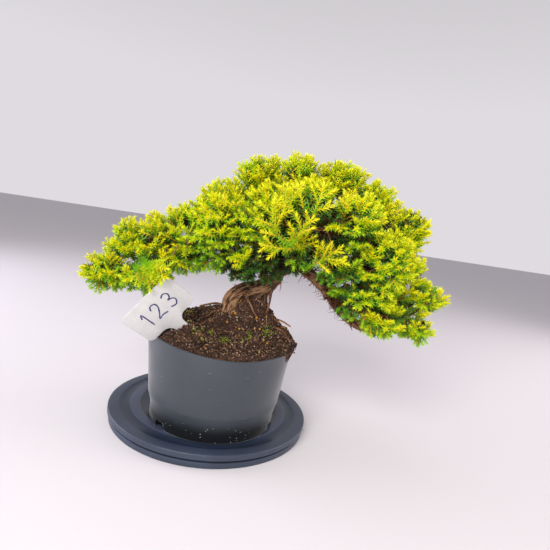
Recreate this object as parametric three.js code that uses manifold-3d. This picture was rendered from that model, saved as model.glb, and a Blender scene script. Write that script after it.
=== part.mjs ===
// Japanese garden juniper trained as a cascading bonsai. The tree stands off centre in a
// round nursery pot, and the pot stands on a two-plate turntable.
// Millimetres, +Z up, +X towards the cascading branch, +Y away from the viewing side.
// The origin is the centre of the turntable's underside.
import * as THREE from 'three';
import { mergeVertices } from 'three/addons/utils/BufferGeometryUtils.js';
import Module from 'manifold-3d';

// Driving dimensions

const clearance = 0.3; // between pieces that touch
const roundSides = 40; // facets round the pot and the plates

const plateRadius = 100; // the 200 mm turntable
const basePlate = { radius: 98.5, thickness: 5.4, edge: 0.9 };
const topPlate = { bottom: 6.5, top: 13, edge: 1, ringDepth: 0.3, ringSlope: 0.3 };
const topRings = [87.3, 77, 66.7]; // edges of the shallow rings turned in the top plate
const pivotPin = { radius: 4, bottom: 1.8, top: 10.2, sides: 16 };
const glideRing = { inner: 52, outer: 62, sides: 16 };

const pot = {
  x: 5.8, y: -23.4, height: 82, wall: 2, floor: 3,
  footRadius: 59.6, footHeight: 13, rimRadius: 69.2,
  shoulderRadius: 62.3, shoulderHeight: 18, shoulderBulge: 0.6,
  slantX: -0.041, slantY: 0.04, // the rim was cut slightly askew
  slotWidth: 12, slotHeight: 5.5, slotDepth: 12, slotAngles: [228, 348, 108],
};
const potBottom = topPlate.top + clearance;

const soil = {
  sides: 32, rings: 6, crowding: 1.15, wallGap: 0.5, edgeRise: 2.5, edgeInset: 1.6, leastRise: 1.2,
  clod: { height: 1.5, size: 4.5 }, ragged: { width: 0.9, size: 5 },
  mounds: [ // x, y, reach, height of each swell in the root ball
    [6, 12, 62, 17], [35, -17, 26, 33], [12, -22, 18, 11], [66, -16, 20, 10], [-33, -8, 16, 6],
    [-28, -56, 16, 5], [-17, -50, 16, 6], [-25, -67, 13, 6],
  ],
  overhang: { angle: -4, reach: 42, width: 6 }, // roots push the root ball over the rim here
};

// Wood: each limb is a list of centre points and radii, from its thick end to its tip
const limbs = {
  trunk: [
    [13, -23, 100, 11.5], [10, -22, 107, 9.6], [7.5, -21, 115, 8.2], [8, -20, 123, 7.6], [11, -19, 131, 7.5],
    [19, -18, 138, 7.7], [28, -17, 141.5, 7.8], [37, -16, 145, 7.9], [44.5, -14, 150, 8], [50, -12, 159, 6.5],
    [53.5, -10, 169, 6.4], [58, -8, 180, 5.7], [62, -6, 195, 4.7], [66, -3, 213, 3.8], [70, 0, 234, 2.6],
  ],
  arch: [
    [54, -9, 163, 5.6], [62, -10, 169.5, 5.6], [71, -12, 169.5, 5.4], [82, -15, 164, 5.2], [93, -18, 156, 4.9],
    [103, -21, 147, 4.8], [112, -24, 138, 4.9], [122, -26, 130, 4.7], [133, -27, 124, 4],
    [147, -26, 122, 3], [163, -20, 124, 2.2], [180, -14, 129, 1.6],
  ],
  left: [
    [58, -8, 174, 4.6], [36, -11, 184, 4.2], [8, -9, 187, 3.8], [-20, -7, 181, 3.4], [-46, -8, 172, 3],
    [-72, -8, 164, 2.4], [-97, -6, 156, 1.9], [-112, -6, 149, 1.6],
  ],
  right: [
    [62, -6, 196, 4], [84, -4, 211, 3.6], [110, -2, 220, 3], [136, -2, 215, 2.5], [158, -3, 202, 2],
    [168, -4, 186, 1.6],
  ],
  front: [[60, -8, 184, 3.4], [59, -26, 196, 2.9], [66, -38, 206, 2.4], [88, -46, 209, 1.8]],
  back: [[61, -6, 188, 3.6], [59, 14, 198, 3.1], [60, 32, 210, 2.6], [76, 46, 222, 1.9]],
  cascade: [
    [118, -25, 133, 3.6], [130, -20, 144, 3], [143, -16, 150, 2.4], [160, -6, 152, 1.8], [176, -8, 153, 1.5],
  ],
};
const limbSides = { trunk: 9, arch: 7, left: 5, right: 5, front: 4, back: 4, cascade: 5 };
const trunkStep = 9; // length of one step along a tube, shorter where it bends more
const limbStep = 13;
const sampleSteps = 40;

// Roots leave the trunk and run over or into the root ball
const roots = [
  [[46, -17, 144, 3.4], [45.5, -22, 135, 2], [45, -25, 127, 1.7], [43, -25, 117, 1.5]],
  [[23, -24, 135, 2.8], [28.5, -29, 130, 1.7], [34, -33, 123, 1.5], [39.5, -36, 115, 1.4], [45, -38, 106, 1.3]],
  [[46, -15, 137, 2.8], [56, -19, 120, 1.6], [63, -23, 115, 1.5], [70, -25, 110, 1.3]],
  [[46, -24, 124, 1.8], [52, -29, 116, 1.6], [60, -33, 110, 1.5], [69, -34, 104, 1.4], [76, -33, 99, 1.2]],
  [[4, -16, 116, 4], [-7, -8, 117, 2.2], [-17, -2, 114, 1.7], [-27, 2, 106, 1.4]],
  [[5, -26, 114, 5], [-1, -31, 110, 2.6], [-7, -35, 104, 1.8], [-12, -38, 97, 1.4]],
];
const rootSides = 4;
const rootStep = 11;
const deadStubs = [
  [[136, -30, 143, 2.6], [132, -41, 148, 2], [131, -48, 154, 1.2]],
  [[74, -14, 169, 4], [78, -20, 174, 2.8], [80, -25, 181, 1.6]],
];
const stubStep = 7;
const bark = { ridges: 0.05, lumps: 0.07, lumpSize: 4 };
// A twig leaves the nearest limb, sags a little and ends in the middle of its pad
const twig = { sides: 3, step: 14, share: 0.75, thickest: 2.6, tip: 1.1, bendAt: 0.55, sag: 0.1, shortest: 4 };

// Foliage: each pad's centre and its half widths along X, Y and Z out to the needle tips
const pads = {
  left_tip: [-118, -6, 142, 26, 28, 22],
  left_top: [-103, 2, 175, 30, 30, 25],
  left_low: [-80, -20, 147, 29, 27, 20],
  left_mid: [-68, -2, 178, 34, 31, 24],
  left_neck: [-36, -6, 184, 34, 31, 31],
  crown_1: [-13, 2, 226, 33, 34, 28],
  crown_2: [22, 4, 247, 36, 38, 26],
  crown_3: [58, 4, 257, 36, 40, 23],
  crown_4: [96, 4, 258, 36, 40, 22],
  crown_5: [131, 0, 242, 34, 38, 25],
  crown_6: [161, -2, 219, 31, 36, 27],
  crown_7: [174, -4, 183, 27, 32, 31],
  front_1: [2, -36, 201, 34, 28, 28],
  front_2: [34, -46, 216, 34, 28, 28],
  front_3: [73, -51, 224, 34, 28, 28],
  front_4: [112, -49, 218, 34, 28, 29],
  front_5: [143, -42, 191, 28, 27, 30],
  front_6: [108, -41, 184, 32, 25, 23],
  skirt: [20, -28, 172, 35, 25, 23],
  fork: [68, -33, 190, 29, 21, 20],
  back_1: [-21, 39, 208, 34, 31, 29],
  back_2: [24, 49, 231, 36, 32, 29],
  back_3: [77, 53, 242, 36, 32, 27],
  back_4: [128, 47, 231, 35, 32, 29],
  back_5: [162, 35, 201, 28, 30, 29],
  cascade_1: [143, -28, 154, 28, 26, 20],
  cascade_2: [150, -29, 130, 26, 24, 16],
  cascade_3: [189, -14, 156, 29, 20, 17],
  cascade_4: [188, -12, 130, 26, 22, 17],
  cascade_5: [171, 13, 150, 27, 25, 23],
};
const core = { depth: 11.5, least: 0.32, lump: 0.1, gap: 0.6 };
// The shaded inside of the crown carries wood but no green shoots
const hollow = [68, 2, 196, 96, 40, 48];
const shoot = {
  seed: 7, mostRings: 3, shortShare: 0.5, pitch: 2.7, stem: 1.3, stemTip: 0.8, needle: 5.6, needleTip: 4.4,
  spreadLow: 56, spreadHigh: 28, spreadPlay: 6, shortest: 1.6, woodMargin: 3.5, clearMargin: 0.4,
  tries: [ // rise, share of the full reach, lean away from the nearest neighbour
    [0.3, 1, 0], [0, 1, 0], [0.1, 0.95, 0.35], [0, 0.9, 0.6], [-0.1, 0.9, 0],
  ],
};

// Label: a T-shaped plastic plant tag pushed into the soil
const label = {
  x: -43.6, y: -79, z: 121.7, long: 54.4, wide: 33.6, corner: 5, thickness: 0.9,
  neckWidth: 11.6, neckFillet: 7, neckReach: 60, pointWidth: 7, pointTaper: 6,
  facing: [0.371, -0.888, -0.271], stemDown: [0.705, 0.459, -0.54],
};
const mergeDistance = 0.02;

// Solids and booleans

const wasm = await Module();
wasm.setup();

function solidOf(geometry) {
  const bare = geometry.index ? geometry.clone() : geometry;
  bare.deleteAttribute('normal');
  bare.deleteAttribute('uv');
  const merged = mergeVertices(bare, 1e-4);
  const mesh = new wasm.Mesh({
    numProp: 3,
    vertProperties: new Float32Array(merged.attributes.position.array),
    triVerts: new Uint32Array(merged.index.array),
  });
  return new wasm.Manifold(mesh);
}

function geometryOf(solid) {
  const mesh = solid.getMesh();
  const geometry = new THREE.BufferGeometry();
  geometry.setAttribute('position', new THREE.BufferAttribute(new Float32Array(mesh.vertProperties), 3));
  geometry.setIndex(new THREE.BufferAttribute(new Uint32Array(mesh.triVerts), 1));
  geometry.computeVertexNormals();
  return geometry;
}

function geometryFrom(points, triangles) {
  const geometry = new THREE.BufferGeometry();
  geometry.setAttribute('position', new THREE.BufferAttribute(new Float32Array(points.flat()), 3));
  geometry.setIndex(triangles.flat());
  return geometry;
}

function joined(solids) {
  return solids.reduce((sum, solid) => sum.add(solid));
}

function largestPiece(solid) {
  return solid.decompose().reduce((best, piece) => (piece.volume() > best.volume() ? piece : best));
}

// Repeatable random draws and smooth noise

function randomFrom(seed) {
  let state = seed;
  return () => {
    state = (state + 0x6d2b79f5) | 0;
    let bits = Math.imul(state ^ (state >>> 15), 1 | state);
    bits = (bits + Math.imul(bits ^ (bits >>> 7), 61 | bits)) ^ bits;
    return ((bits ^ (bits >>> 14)) >>> 0) / 4294967296;
  };
}

function waves(x, y, z, size) {
  const first = Math.sin(x / size + 1.3 * Math.sin(z / size));
  const second = Math.sin((y * 1.27) / size + 2.1 + Math.sin((x * 0.71) / size));
  const third = Math.sin((z * 1.13) / size + 4.2 + Math.sin((y * 0.83) / size));
  return (first + second + third) / 3;
}

const degrees = Math.PI / 180;

// Turntable

function turned(profile, sides) {
  const points = profile.map(([radius, height]) => new THREE.Vector2(radius, height));
  return new THREE.LatheGeometry(points, sides).rotateX(Math.PI / 2);
}

function pinShape(radius, bottom, top) {
  const pin = new THREE.CylinderGeometry(radius, radius, top - bottom, pivotPin.sides);
  return pin.rotateX(Math.PI / 2).translate(0, 0, (bottom + top) / 2);
}

function pinHole(bottom, top) {
  return solidOf(pinShape(pivotPin.radius + clearance, bottom, top));
}

function basePlateGeometry() {
  const { radius, thickness, edge } = basePlate;
  const plate = turned([[0, 0], [radius - edge, 0], [radius, edge], [radius, thickness - edge],
    [radius - edge, thickness], [0, thickness]], roundSides);
  return geometryOf(solidOf(plate).subtract(pinHole(pivotPin.bottom - clearance, thickness + 1)));
}

function topPlateGeometry() {
  const { bottom, top, edge, ringDepth, ringSlope } = topPlate;
  const low = top - ringDepth;
  const [outerRing, middleRing, innerRing] = topRings;
  const plate = turned([[0, bottom], [plateRadius - edge / 2, bottom], [plateRadius, bottom + edge / 2],
    [plateRadius, top - edge], [plateRadius - edge, top], [outerRing + ringSlope, top], [outerRing, low],
    [middleRing, low], [middleRing - ringSlope, top], [innerRing, top], [innerRing - ringSlope, low],
    [0, low]], roundSides);
  return geometryOf(solidOf(plate).subtract(pinHole(bottom - 1, pivotPin.top + clearance)));
}

function glideRingGeometry() {
  const bottom = basePlate.thickness + clearance;
  const top = topPlate.bottom - clearance;
  const { inner, outer, sides } = glideRing;
  return turned([[inner, bottom], [outer, bottom], [outer, top], [inner, top], [inner, bottom]], sides);
}

// Pot

function rimSlant(x, y) {
  return pot.slantX * (x - pot.x) + pot.slantY * (y - pot.y);
}

function potProfile() {
  const { height, wall, floor, footRadius, footHeight, shoulderRadius, shoulderHeight, rimRadius } = pot;
  const middleRadius = (footRadius + shoulderRadius) / 2 + pot.shoulderBulge;
  const middleHeight = (footHeight + shoulderHeight) / 2 - pot.shoulderBulge;
  const inner = footRadius - wall;
  return [
    [0, 0], [footRadius, 0], [footRadius, footHeight], [middleRadius, middleHeight],
    [shoulderRadius, shoulderHeight], [rimRadius, height],
    [rimRadius - wall, height], [inner, footHeight], [inner, floor], [0, floor],
  ];
}

// The lathe's rim is level, so each rim point is slid along the wall to the askew cut
function slantRim(geometry) {
  const at = geometry.attributes.position;
  const taper = (pot.rimRadius - pot.shoulderRadius) / (pot.height - pot.shoulderHeight);
  for (let i = 0; i < at.count; i += 1) {
    const radius = Math.hypot(at.getX(i), at.getY(i));
    if (at.getZ(i) > pot.height - 1) {
      const drop = rimSlant(at.getX(i) + pot.x, at.getY(i) + pot.y);
      const grow = (radius + drop * taper) / radius;
      at.setXYZ(i, at.getX(i) * grow, at.getY(i) * grow, at.getZ(i) + drop);
    }
  }
  return geometry;
}

function drainSlot(angle) {
  const slot = new THREE.BoxGeometry(pot.slotDepth, pot.slotWidth, pot.slotHeight * 2);
  return solidOf(slot.translate(pot.footRadius, 0, 0).rotateZ(angle * degrees));
}

function potGeometry() {
  let body = solidOf(slantRim(turned(potProfile(), roundSides)));
  pot.slotAngles.forEach((angle) => {
    body = body.subtract(drainSlot(angle));
  });
  return geometryOf(body).translate(pot.x, pot.y, potBottom);
}

// Soil: the root ball fills the pot and swells above its rim

function rimHeight(x, y) {
  return potBottom + pot.height + rimSlant(x, y);
}

function moundHeight(x, y) {
  const swell = soil.mounds.reduce((sum, [cx, cy, reach, height]) => {
    const away = Math.hypot(x - cx, y - cy) / reach;
    return sum + height * Math.exp(-2 * away * away);
  }, 0);
  return rimHeight(x, y) + soil.edgeRise + swell + soil.clod.height * waves(x, y, 3, soil.clod.size);
}

function potPoint(angle, radius) {
  return [pot.x + radius * Math.cos(angle * degrees), pot.y + radius * Math.sin(angle * degrees)];
}

function soilEdge(angle) {
  const { overhang, edgeInset, ragged } = soil;
  const turn = Math.abs(((angle - overhang.angle + 540) % 360) - 180) / overhang.reach;
  const inside = pot.rimRadius - pot.wall - edgeInset;
  const [x, y] = potPoint(angle, pot.rimRadius);
  return inside + overhang.width * Math.exp(-2 * turn * turn) + ragged.width * waves(x, y, 0, ragged.size);
}

function soilGeometry() {
  const { wall, floor, footRadius, footHeight, rimRadius, height } = pot;
  const points = [];
  const ring = (place) => {
    for (let i = 0; i < soil.sides; i += 1) {
      const angle = (i * 360) / soil.sides;
      const [radius, z] = place(angle);
      points.push([...potPoint(angle, radius), z]);
    }
  };
  const innerFoot = footRadius - wall - soil.wallGap;
  const innerRim = rimRadius - wall - soil.wallGap;
  const ramp = (innerRim - innerFoot) / (height - footHeight);
  const floorHeight = potBottom + floor + clearance;
  ring(() => [innerFoot, floorHeight]);
  ring(() => [innerFoot, potBottom + footHeight]);
  ring((angle) => {
    const z = rimHeight(...potPoint(angle, innerRim)) + clearance;
    return [innerFoot + ramp * (z - potBottom - footHeight) - clearance / 2, z];
  });
  for (let k = 0; k < soil.rings; k += 1) {
    const share = 1 - (k / soil.rings) ** soil.crowding;
    ring((angle) => {
      const radius = soilEdge(angle) * share;
      const [x, y] = potPoint(angle, radius);
      const rise = (moundHeight(x, y) - rimHeight(x, y)) * (k === 0 ? 0.6 : 1); // the edge is rounded off
      return [radius, rimHeight(x, y) + Math.max(rise, soil.leastRise)];
    });
  }
  const bottomCentre = points.push([pot.x, pot.y, floorHeight]) - 1;
  const topCentre = points.push([pot.x, pot.y, moundHeight(pot.x, pot.y)]) - 1;
  const triangles = [];
  const last = soil.rings + 2;
  for (let i = 0; i < soil.sides; i += 1) {
    const next = (i + 1) % soil.sides;
    triangles.push([bottomCentre, next, i]);
    for (let k = 0; k < last; k += 1) {
      const low = k * soil.sides;
      const high = low + soil.sides;
      triangles.push([low + i, low + next, high + next], [low + i, high + next, high + i]);
    }
    triangles.push([last * soil.sides + i, last * soil.sides + next, topCentre]);
  }
  return geometryFrom(points, triangles);
}

// Wood

function barkRadius(point, angle, radius) {
  const ridges = Math.sin(angle * 3 + point.z / 7) + Math.sin(angle * 5 - point.x / 6);
  return radius * (1 + bark.ridges * ridges + bark.lumps * waves(point.x, point.y, point.z, bark.lumpSize));
}

function limbCurve(stations) {
  return new THREE.CatmullRomCurve3(stations.map(([x, y, z]) => new THREE.Vector3(x, y, z)));
}

function radiusAt(stations, curve, share) {
  const along = curve.getUtoTmapping(share) * (stations.length - 1);
  const before = Math.min(Math.floor(along), stations.length - 2);
  return THREE.MathUtils.lerp(stations[before][3], stations[before + 1][3], along - before);
}

// A limb is a closed tapering tube along a smooth curve, with its bark raised by a formula
function limbGeometry(stations, sides, stepLength, grow) {
  const curve = limbCurve(stations);
  const steps = Math.max(stations.length - 1, Math.round(curve.getLength() / stepLength));
  const frames = curve.computeFrenetFrames(steps, false);
  const points = [];
  const triangles = [];
  for (let k = 0; k <= steps; k += 1) {
    const centre = curve.getPointAt(k / steps);
    const radius = radiusAt(stations, curve, k / steps);
    for (let i = 0; i < sides; i += 1) {
      const angle = ((i + (k % 2) / 2) * 2 * Math.PI) / sides;
      const reach = barkRadius(centre, angle, radius) + grow;
      const spoke = frames.normals[k].clone().multiplyScalar(Math.cos(angle) * reach)
        .addScaledVector(frames.binormals[k], Math.sin(angle) * reach);
      const end = k === 0 ? -grow : k === steps ? grow : 0;
      points.push(centre.clone().add(spoke).addScaledVector(frames.tangents[k], end).toArray());
    }
  }
  for (let k = 0; k < steps; k += 1) {
    for (let i = 0; i < sides; i += 1) {
      const next = (i + 1) % sides;
      const [a, b] = [k * sides + i, k * sides + next];
      const [c, d] = [a + sides, b + sides];
      triangles.push(...(k % 2 ? [[a, b, d], [a, d, c]] : [[a, b, c], [b, d, c]]));
    }
  }
  for (let i = 1; i < sides - 1; i += 1) {
    triangles.push([0, i + 1, i]);
    triangles.push([steps * sides, steps * sides + i, steps * sides + i + 1]);
  }
  return geometryFrom(points, triangles);
}

// Points along a limb with the radius there
function limbSamples(stations) {
  const curve = limbCurve(stations);
  return Array.from({ length: sampleSteps + 1 }, (_, k) => (
    { point: curve.getPointAt(k / sampleSteps), radius: radiusAt(stations, curve, k / sampleSteps) }));
}

// Twigs leave any limb, but not the bare lower trunk
function nearestOnLimbs(target) {
  const bareTrunk = (3 * sampleSteps) / 4;
  const places = Object.entries(limbs).flatMap(([name, stations]) => (
    limbSamples(stations).slice(name === 'trunk' ? bareTrunk : 0)));
  return places.reduce((best, place) => (
    place.point.distanceTo(target) < best.point.distanceTo(target) ? place : best));
}

function twigStations([x, y, z]) {
  const centre = new THREE.Vector3(x, y, z);
  const { point, radius } = nearestOnLimbs(centre);
  const length = point.distanceTo(centre);
  if (length < twig.shortest) return null;
  const bend = point.clone().lerp(centre, twig.bendAt).add(new THREE.Vector3(0, 0, -twig.sag * length));
  const base = Math.min(radius * twig.share, twig.thickest);
  return [[...point.toArray(), base], [...bend.toArray(), base * twig.share], [...centre.toArray(), twig.tip]];
}

function woodSolid(grow) {
  const pieces = Object.entries(limbs).map(([name, stations]) => (
    limbGeometry(stations, limbSides[name], name === 'trunk' ? trunkStep : limbStep, grow)));
  roots.forEach((stations) => pieces.push(limbGeometry(stations, rootSides, rootStep, grow)));
  deadStubs.forEach((stations) => pieces.push(limbGeometry(stations, rootSides, stubStep, grow)));
  Object.values(pads).forEach((pad) => {
    const stations = twigStations(pad);
    if (stations) pieces.push(limbGeometry(stations, twig.sides, twig.step, grow));
  });
  return joined(pieces.map(solidOf));
}

// Foliage

function reachAlong(pad, direction) {
  const [, , , a, b, c] = pad;
  return 1 / Math.hypot(direction.x / a, direction.y / b, direction.z / c);
}

// Neighbouring pads are parted by a plane between them, so that none crosses another
function partingPlanes(name) {
  const own = new THREE.Vector3(...pads[name].slice(0, 3));
  return Object.entries(pads).filter(([other]) => other !== name).map(([, pad]) => {
    const away = new THREE.Vector3(...pad.slice(0, 3)).sub(own);
    const distance = away.length();
    const direction = away.normalize();
    const [mine, theirs] = [reachAlong(pads[name], direction), reachAlong(pad, direction)];
    const from = own.dot(direction) + (distance * mine) / (mine + theirs) - core.gap / 2;
    return { direction, from, near: distance < (mine + theirs) * 1.2 };
  }).filter(({ near }) => near);
}

// A pad's core is an icosahedron turned at random, swollen unevenly and held inside its parting planes
function coreOf(name, planes, random) {
  const [x, y, z, a, b, c] = pads[name];
  const centre = new THREE.Vector3(x, y, z);
  const turn = new THREE.Euler(random() * 6, random() * 6, random() * 6);
  const ball = new THREE.IcosahedronGeometry(1, 0);
  ball.deleteAttribute('normal');
  ball.deleteAttribute('uv');
  const merged = mergeVertices(ball, 1e-4);
  const corners = [];
  for (let i = 0; i < merged.attributes.position.count; i += 1) {
    const way = new THREE.Vector3().fromBufferAttribute(merged.attributes.position, i).applyEuler(turn);
    const spoke = new THREE.Vector3(way.x * a, way.y * b, way.z * c);
    const length = spoke.length();
    spoke.multiplyScalar(Math.max(core.least, 1 - core.depth / length) * (1 - core.lump * random()));
    const limit = Math.min(1, ...planes.map(({ direction, from }) => {
      const room = from - centre.dot(direction);
      const ahead = spoke.dot(direction);
      return ahead > 0 ? room / ahead : 1;
    }));
    corners.push(centre.clone().addScaledVector(spoke, limit));
  }
  const faces = [];
  for (let i = 0; i < merged.index.count; i += 3) {
    faces.push([0, 1, 2].map((k) => merged.index.getX(i + k)));
  }
  return { corners, faces };
}

// A shoot rises from one face of the core as a three-sided stem, each facet drawn out into a needle
function shootOn(corners, foot, axis, height, random) {
  const { mostRings, shortShare, shortest, pitch, stem, stemTip, needle, needleTip } = shoot;
  const side = corners[0].clone().sub(foot);
  side.addScaledVector(axis, -side.dot(axis)).normalize();
  const other = axis.clone().cross(side);
  const lead = corners.reduce((sum, corner, j) => {
    const arm = corner.clone().sub(foot);
    const turn = Math.atan2(arm.dot(other), arm.dot(side)) - (j * 2 * Math.PI) / 3;
    return sum + Math.atan2(Math.sin(turn), Math.cos(turn)) / 3;
  }, 0);
  const most = random() < shortShare ? mostRings - 1 : mostRings;
  const rings = Math.min(most, 1 + Math.floor((height - needleTip - shortest) / pitch));
  const collar = height - (rings - 1) * pitch - needleTip;
  const points = [];
  const triangles = [];
  for (let k = 0; k < rings; k += 1) {
    const radius = THREE.MathUtils.lerp(stem, stemTip, k / (rings - 1));
    for (let j = 0; j < 3; j += 1) {
      const angle = lead + ((k + 2 * j) * Math.PI) / 3;
      points.push(foot.clone().addScaledVector(axis, collar + k * pitch)
        .addScaledVector(side, radius * Math.cos(angle)).addScaledVector(other, radius * Math.sin(angle)));
    }
  }
  const needleOn = (base, share) => {
    const middle = points[base[0]].clone().add(points[base[1]]).add(points[base[2]]).divideScalar(3);
    const outward = middle.clone().sub(foot);
    outward.addScaledVector(axis, -outward.dot(axis)).normalize();
    const play = shoot.spreadPlay * (random() - 0.5);
    const spread = (THREE.MathUtils.lerp(shoot.spreadLow, shoot.spreadHigh, share) + play) * degrees;
    const length = THREE.MathUtils.lerp(needle, needleTip, share) * (0.9 + 0.2 * random());
    const tip = points.push(middle.addScaledVector(axis, length * Math.cos(spread))
      .addScaledVector(outward, length * Math.sin(spread))) - 1;
    base.forEach((corner, i) => triangles.push([corner, base[(i + 1) % 3], tip]));
  };
  for (let k = 0; k < rings - 1; k += 1) {
    for (let j = 0; j < 3; j += 1) {
      const [a, b] = [3 * k + j, 3 * k + ((j + 1) % 3)];
      needleOn([a, b, a + 3], k / (rings - 1));
      needleOn([b, b + 3, a + 3], (k + 0.5) / (rings - 1));
    }
  }
  const end = 3 * (rings - 1);
  const tip = points.push(foot.clone().addScaledVector(axis, height)) - 1;
  triangles.push([end, end + 1, tip], [end + 1, end + 2, tip], [end + 2, end, tip]);
  return { points, triangles };
}

function insidePad(point, [x, y, z, a, b, c], share) {
  return Math.hypot((point.x - x) / a, (point.y - y) / b, (point.z - z) / c) < share;
}

// The first way up from a face that stays clear of the neighbouring pads and of the wood
function growShoot(name, corners, planes, random) {
  const [x, y, z, a, b, c] = pads[name];
  const foot = corners[0].clone().add(corners[1]).add(corners[2]).divideScalar(3);
  const flat = corners[1].clone().sub(corners[0]).cross(corners[2].clone().sub(corners[0])).normalize();
  const out = new THREE.Vector3((foot.x - x) / a, (foot.y - y) / b, (foot.z - z) / c).normalize();
  const swell = new THREE.Vector3(out.x / a, out.y / b, out.z / c).normalize();
  const least = shoot.shortest + shoot.pitch + shoot.needleTip;
  const others = Object.entries(pads).filter(([key]) => key !== name).map(([, pad]) => pad);
  const nearest = planes.reduce((best, plane) => {
    const room = plane.from - foot.dot(plane.direction);
    return !best || room < best.room ? { room, direction: plane.direction } : best;
  }, null);
  for (const [rise, reach, lean] of shoot.tries) {
    const axis = swell.clone().add(flat).add(new THREE.Vector3(0, 0, 2 * rise));
    if (nearest) axis.addScaledVector(nearest.direction, -lean);
    axis.normalize();
    const skin = new THREE.Vector3(x + out.x * a, y + out.y * b, z + out.z * c);
    const height = skin.sub(foot).dot(axis) * reach;
    if (height > least && axis.dot(flat) > 0.6) {
      const grown = shootOn(corners, foot, axis, height, random);
      const clearOfPads = grown.points.every((point) => (
        planes.every(({ direction, from }) => point.dot(direction) < from - shoot.clearMargin)));
      const tip = foot.clone().addScaledVector(axis, height);
      const outside = !insidePad(tip, hollow, 1) && others.every((pad) => !insidePad(tip, pad, 1));
      const clearOfWood = limbPoints.every(({ point, radius }) => (
        Math.min(point.distanceTo(tip), point.distanceTo(foot)) > radius + shoot.woodMargin));
      if (clearOfPads && outside && clearOfWood) return grown;
    }
  }
  return null;
}

function padSolid(name, order) {
  const random = randomFrom(shoot.seed + order);
  const planes = partingPlanes(name);
  const { corners, faces } = coreOf(name, planes, random);
  const points = corners.map((corner) => corner.toArray());
  const triangles = [];
  faces.forEach((face) => {
    const grown = growShoot(name, face.map((i) => corners[i]), planes, random);
    if (grown) {
      const first = points.length;
      grown.points.forEach((point) => points.push(point.toArray()));
      for (let j = 0; j < 3; j += 1) {
        const k = (j + 1) % 3;
        triangles.push([face[j], face[k], first + k], [face[j], first + k, first + j]);
      }
      grown.triangles.forEach((triangle) => triangles.push(triangle.map((i) => i + first)));
    } else triangles.push(face);
  });
  return solidOf(geometryFrom(points, triangles));
}

// Label

function labelShape(grow) {
  const { corner, neckFillet, pointTaper } = label;
  const [long, wide] = [label.long / 2 + grow, label.wide / 2 + grow];
  const [neck, point] = [label.neckWidth / 2 + grow, label.pointWidth / 2 + grow];
  const reach = label.neckReach + grow;
  const shape = new THREE.Shape();
  shape.moveTo(-long + corner, wide);
  shape.lineTo(long - corner, wide);
  shape.absarc(long - corner, wide - corner, corner, Math.PI / 2, 0, true);
  shape.lineTo(long, -wide + corner);
  shape.absarc(long - corner, -wide + corner, corner, 0, -Math.PI / 2, true);
  shape.lineTo(neck + neckFillet, -wide);
  shape.absarc(neck + neckFillet, -wide - neckFillet, neckFillet, Math.PI / 2, Math.PI, false);
  shape.lineTo(point, -reach + pointTaper);
  shape.lineTo(0, -reach);
  shape.lineTo(-point, -reach + pointTaper);
  shape.lineTo(-neck, -wide - neckFillet);
  shape.absarc(-neck - neckFillet, -wide - neckFillet, neckFillet, 0, Math.PI / 2, false);
  shape.lineTo(-long + corner, -wide);
  shape.absarc(-long + corner, -wide + corner, corner, -Math.PI / 2, -Math.PI, true);
  shape.lineTo(-long, wide - corner);
  shape.absarc(-long + corner, wide - corner, corner, Math.PI, Math.PI / 2, true);
  return shape;
}

function labelGeometry(grow = 0) {
  const depth = label.thickness + 2 * grow;
  const sheet = new THREE.ExtrudeGeometry(labelShape(grow), { depth, bevelEnabled: false, curveSegments: 3 });
  const face = new THREE.Vector3(...label.facing).normalize();
  const up = new THREE.Vector3(...label.stemDown).negate();
  up.addScaledVector(face, -up.dot(face)).normalize();
  const across = up.clone().cross(face);
  const turn = new THREE.Matrix4().makeBasis(across, up, face);
  return sheet.translate(0, 0, -depth / 2).applyMatrix4(turn).translate(label.x, label.y, label.z);
}

// Scene graph

const woodRoom = woodSolid(clearance + mergeDistance);
const labelRoom = solidOf(labelGeometry(clearance));
const limbPoints = Object.values(limbs).concat(deadStubs).flatMap(limbSamples);

function whole(solid) {
  return geometryOf(largestPiece(solid.simplify(mergeDistance)));
}

// A solid with room cut out of it for the wood and the label
function fitted(solid) {
  return whole(solid.subtract(woodRoom).subtract(labelRoom));
}

function material(color, roughness, metalness = 0) {
  return new THREE.MeshStandardMaterial({ color, roughness, metalness });
}

const bonsai = new THREE.Group();

function addMesh(name, geometry, finish) {
  const mesh = new THREE.Mesh(geometry, finish);
  mesh.name = name;
  bonsai.add(mesh);
}

addMesh('turntable_base', basePlateGeometry(), material('#59616c', 0.6));
addMesh('glide_ring', glideRingGeometry(), material('#d9d9d4', 0.4));
addMesh('pivot_pin', pinShape(pivotPin.radius, pivotPin.bottom, pivotPin.top), material('#a9abad', 0.35, 1));
addMesh('turntable_top', topPlateGeometry(), material('#4b566c', 0.5));
addMesh('pot', potGeometry(), material('#6d707c', 0.4));
addMesh('soil', fitted(solidOf(soilGeometry())), material('#3a2a22', 0.95));
addMesh('juniper_wood', whole(woodSolid(0)), material('#6b4a36', 0.85));
addMesh('plant_label', labelGeometry(), material('#e4dee3', 0.4));
Object.keys(pads).forEach((name, order) => {
  addMesh(`foliage_${name}`, fitted(padSolid(name, order)), material('#9aae3c', 0.6));
});

export default bonsai;
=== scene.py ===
# The looks of a juniper bonsai: needle sprays, flaking bark, peat, pot, tag and turntable.
# Blender works in metres here. Settings are in millimetres and are multiplied by mm.
import math
import bpy
import numpy as np
from mathutils import Matrix, Vector
from mathutils.bvhtree import BVHTree


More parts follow.
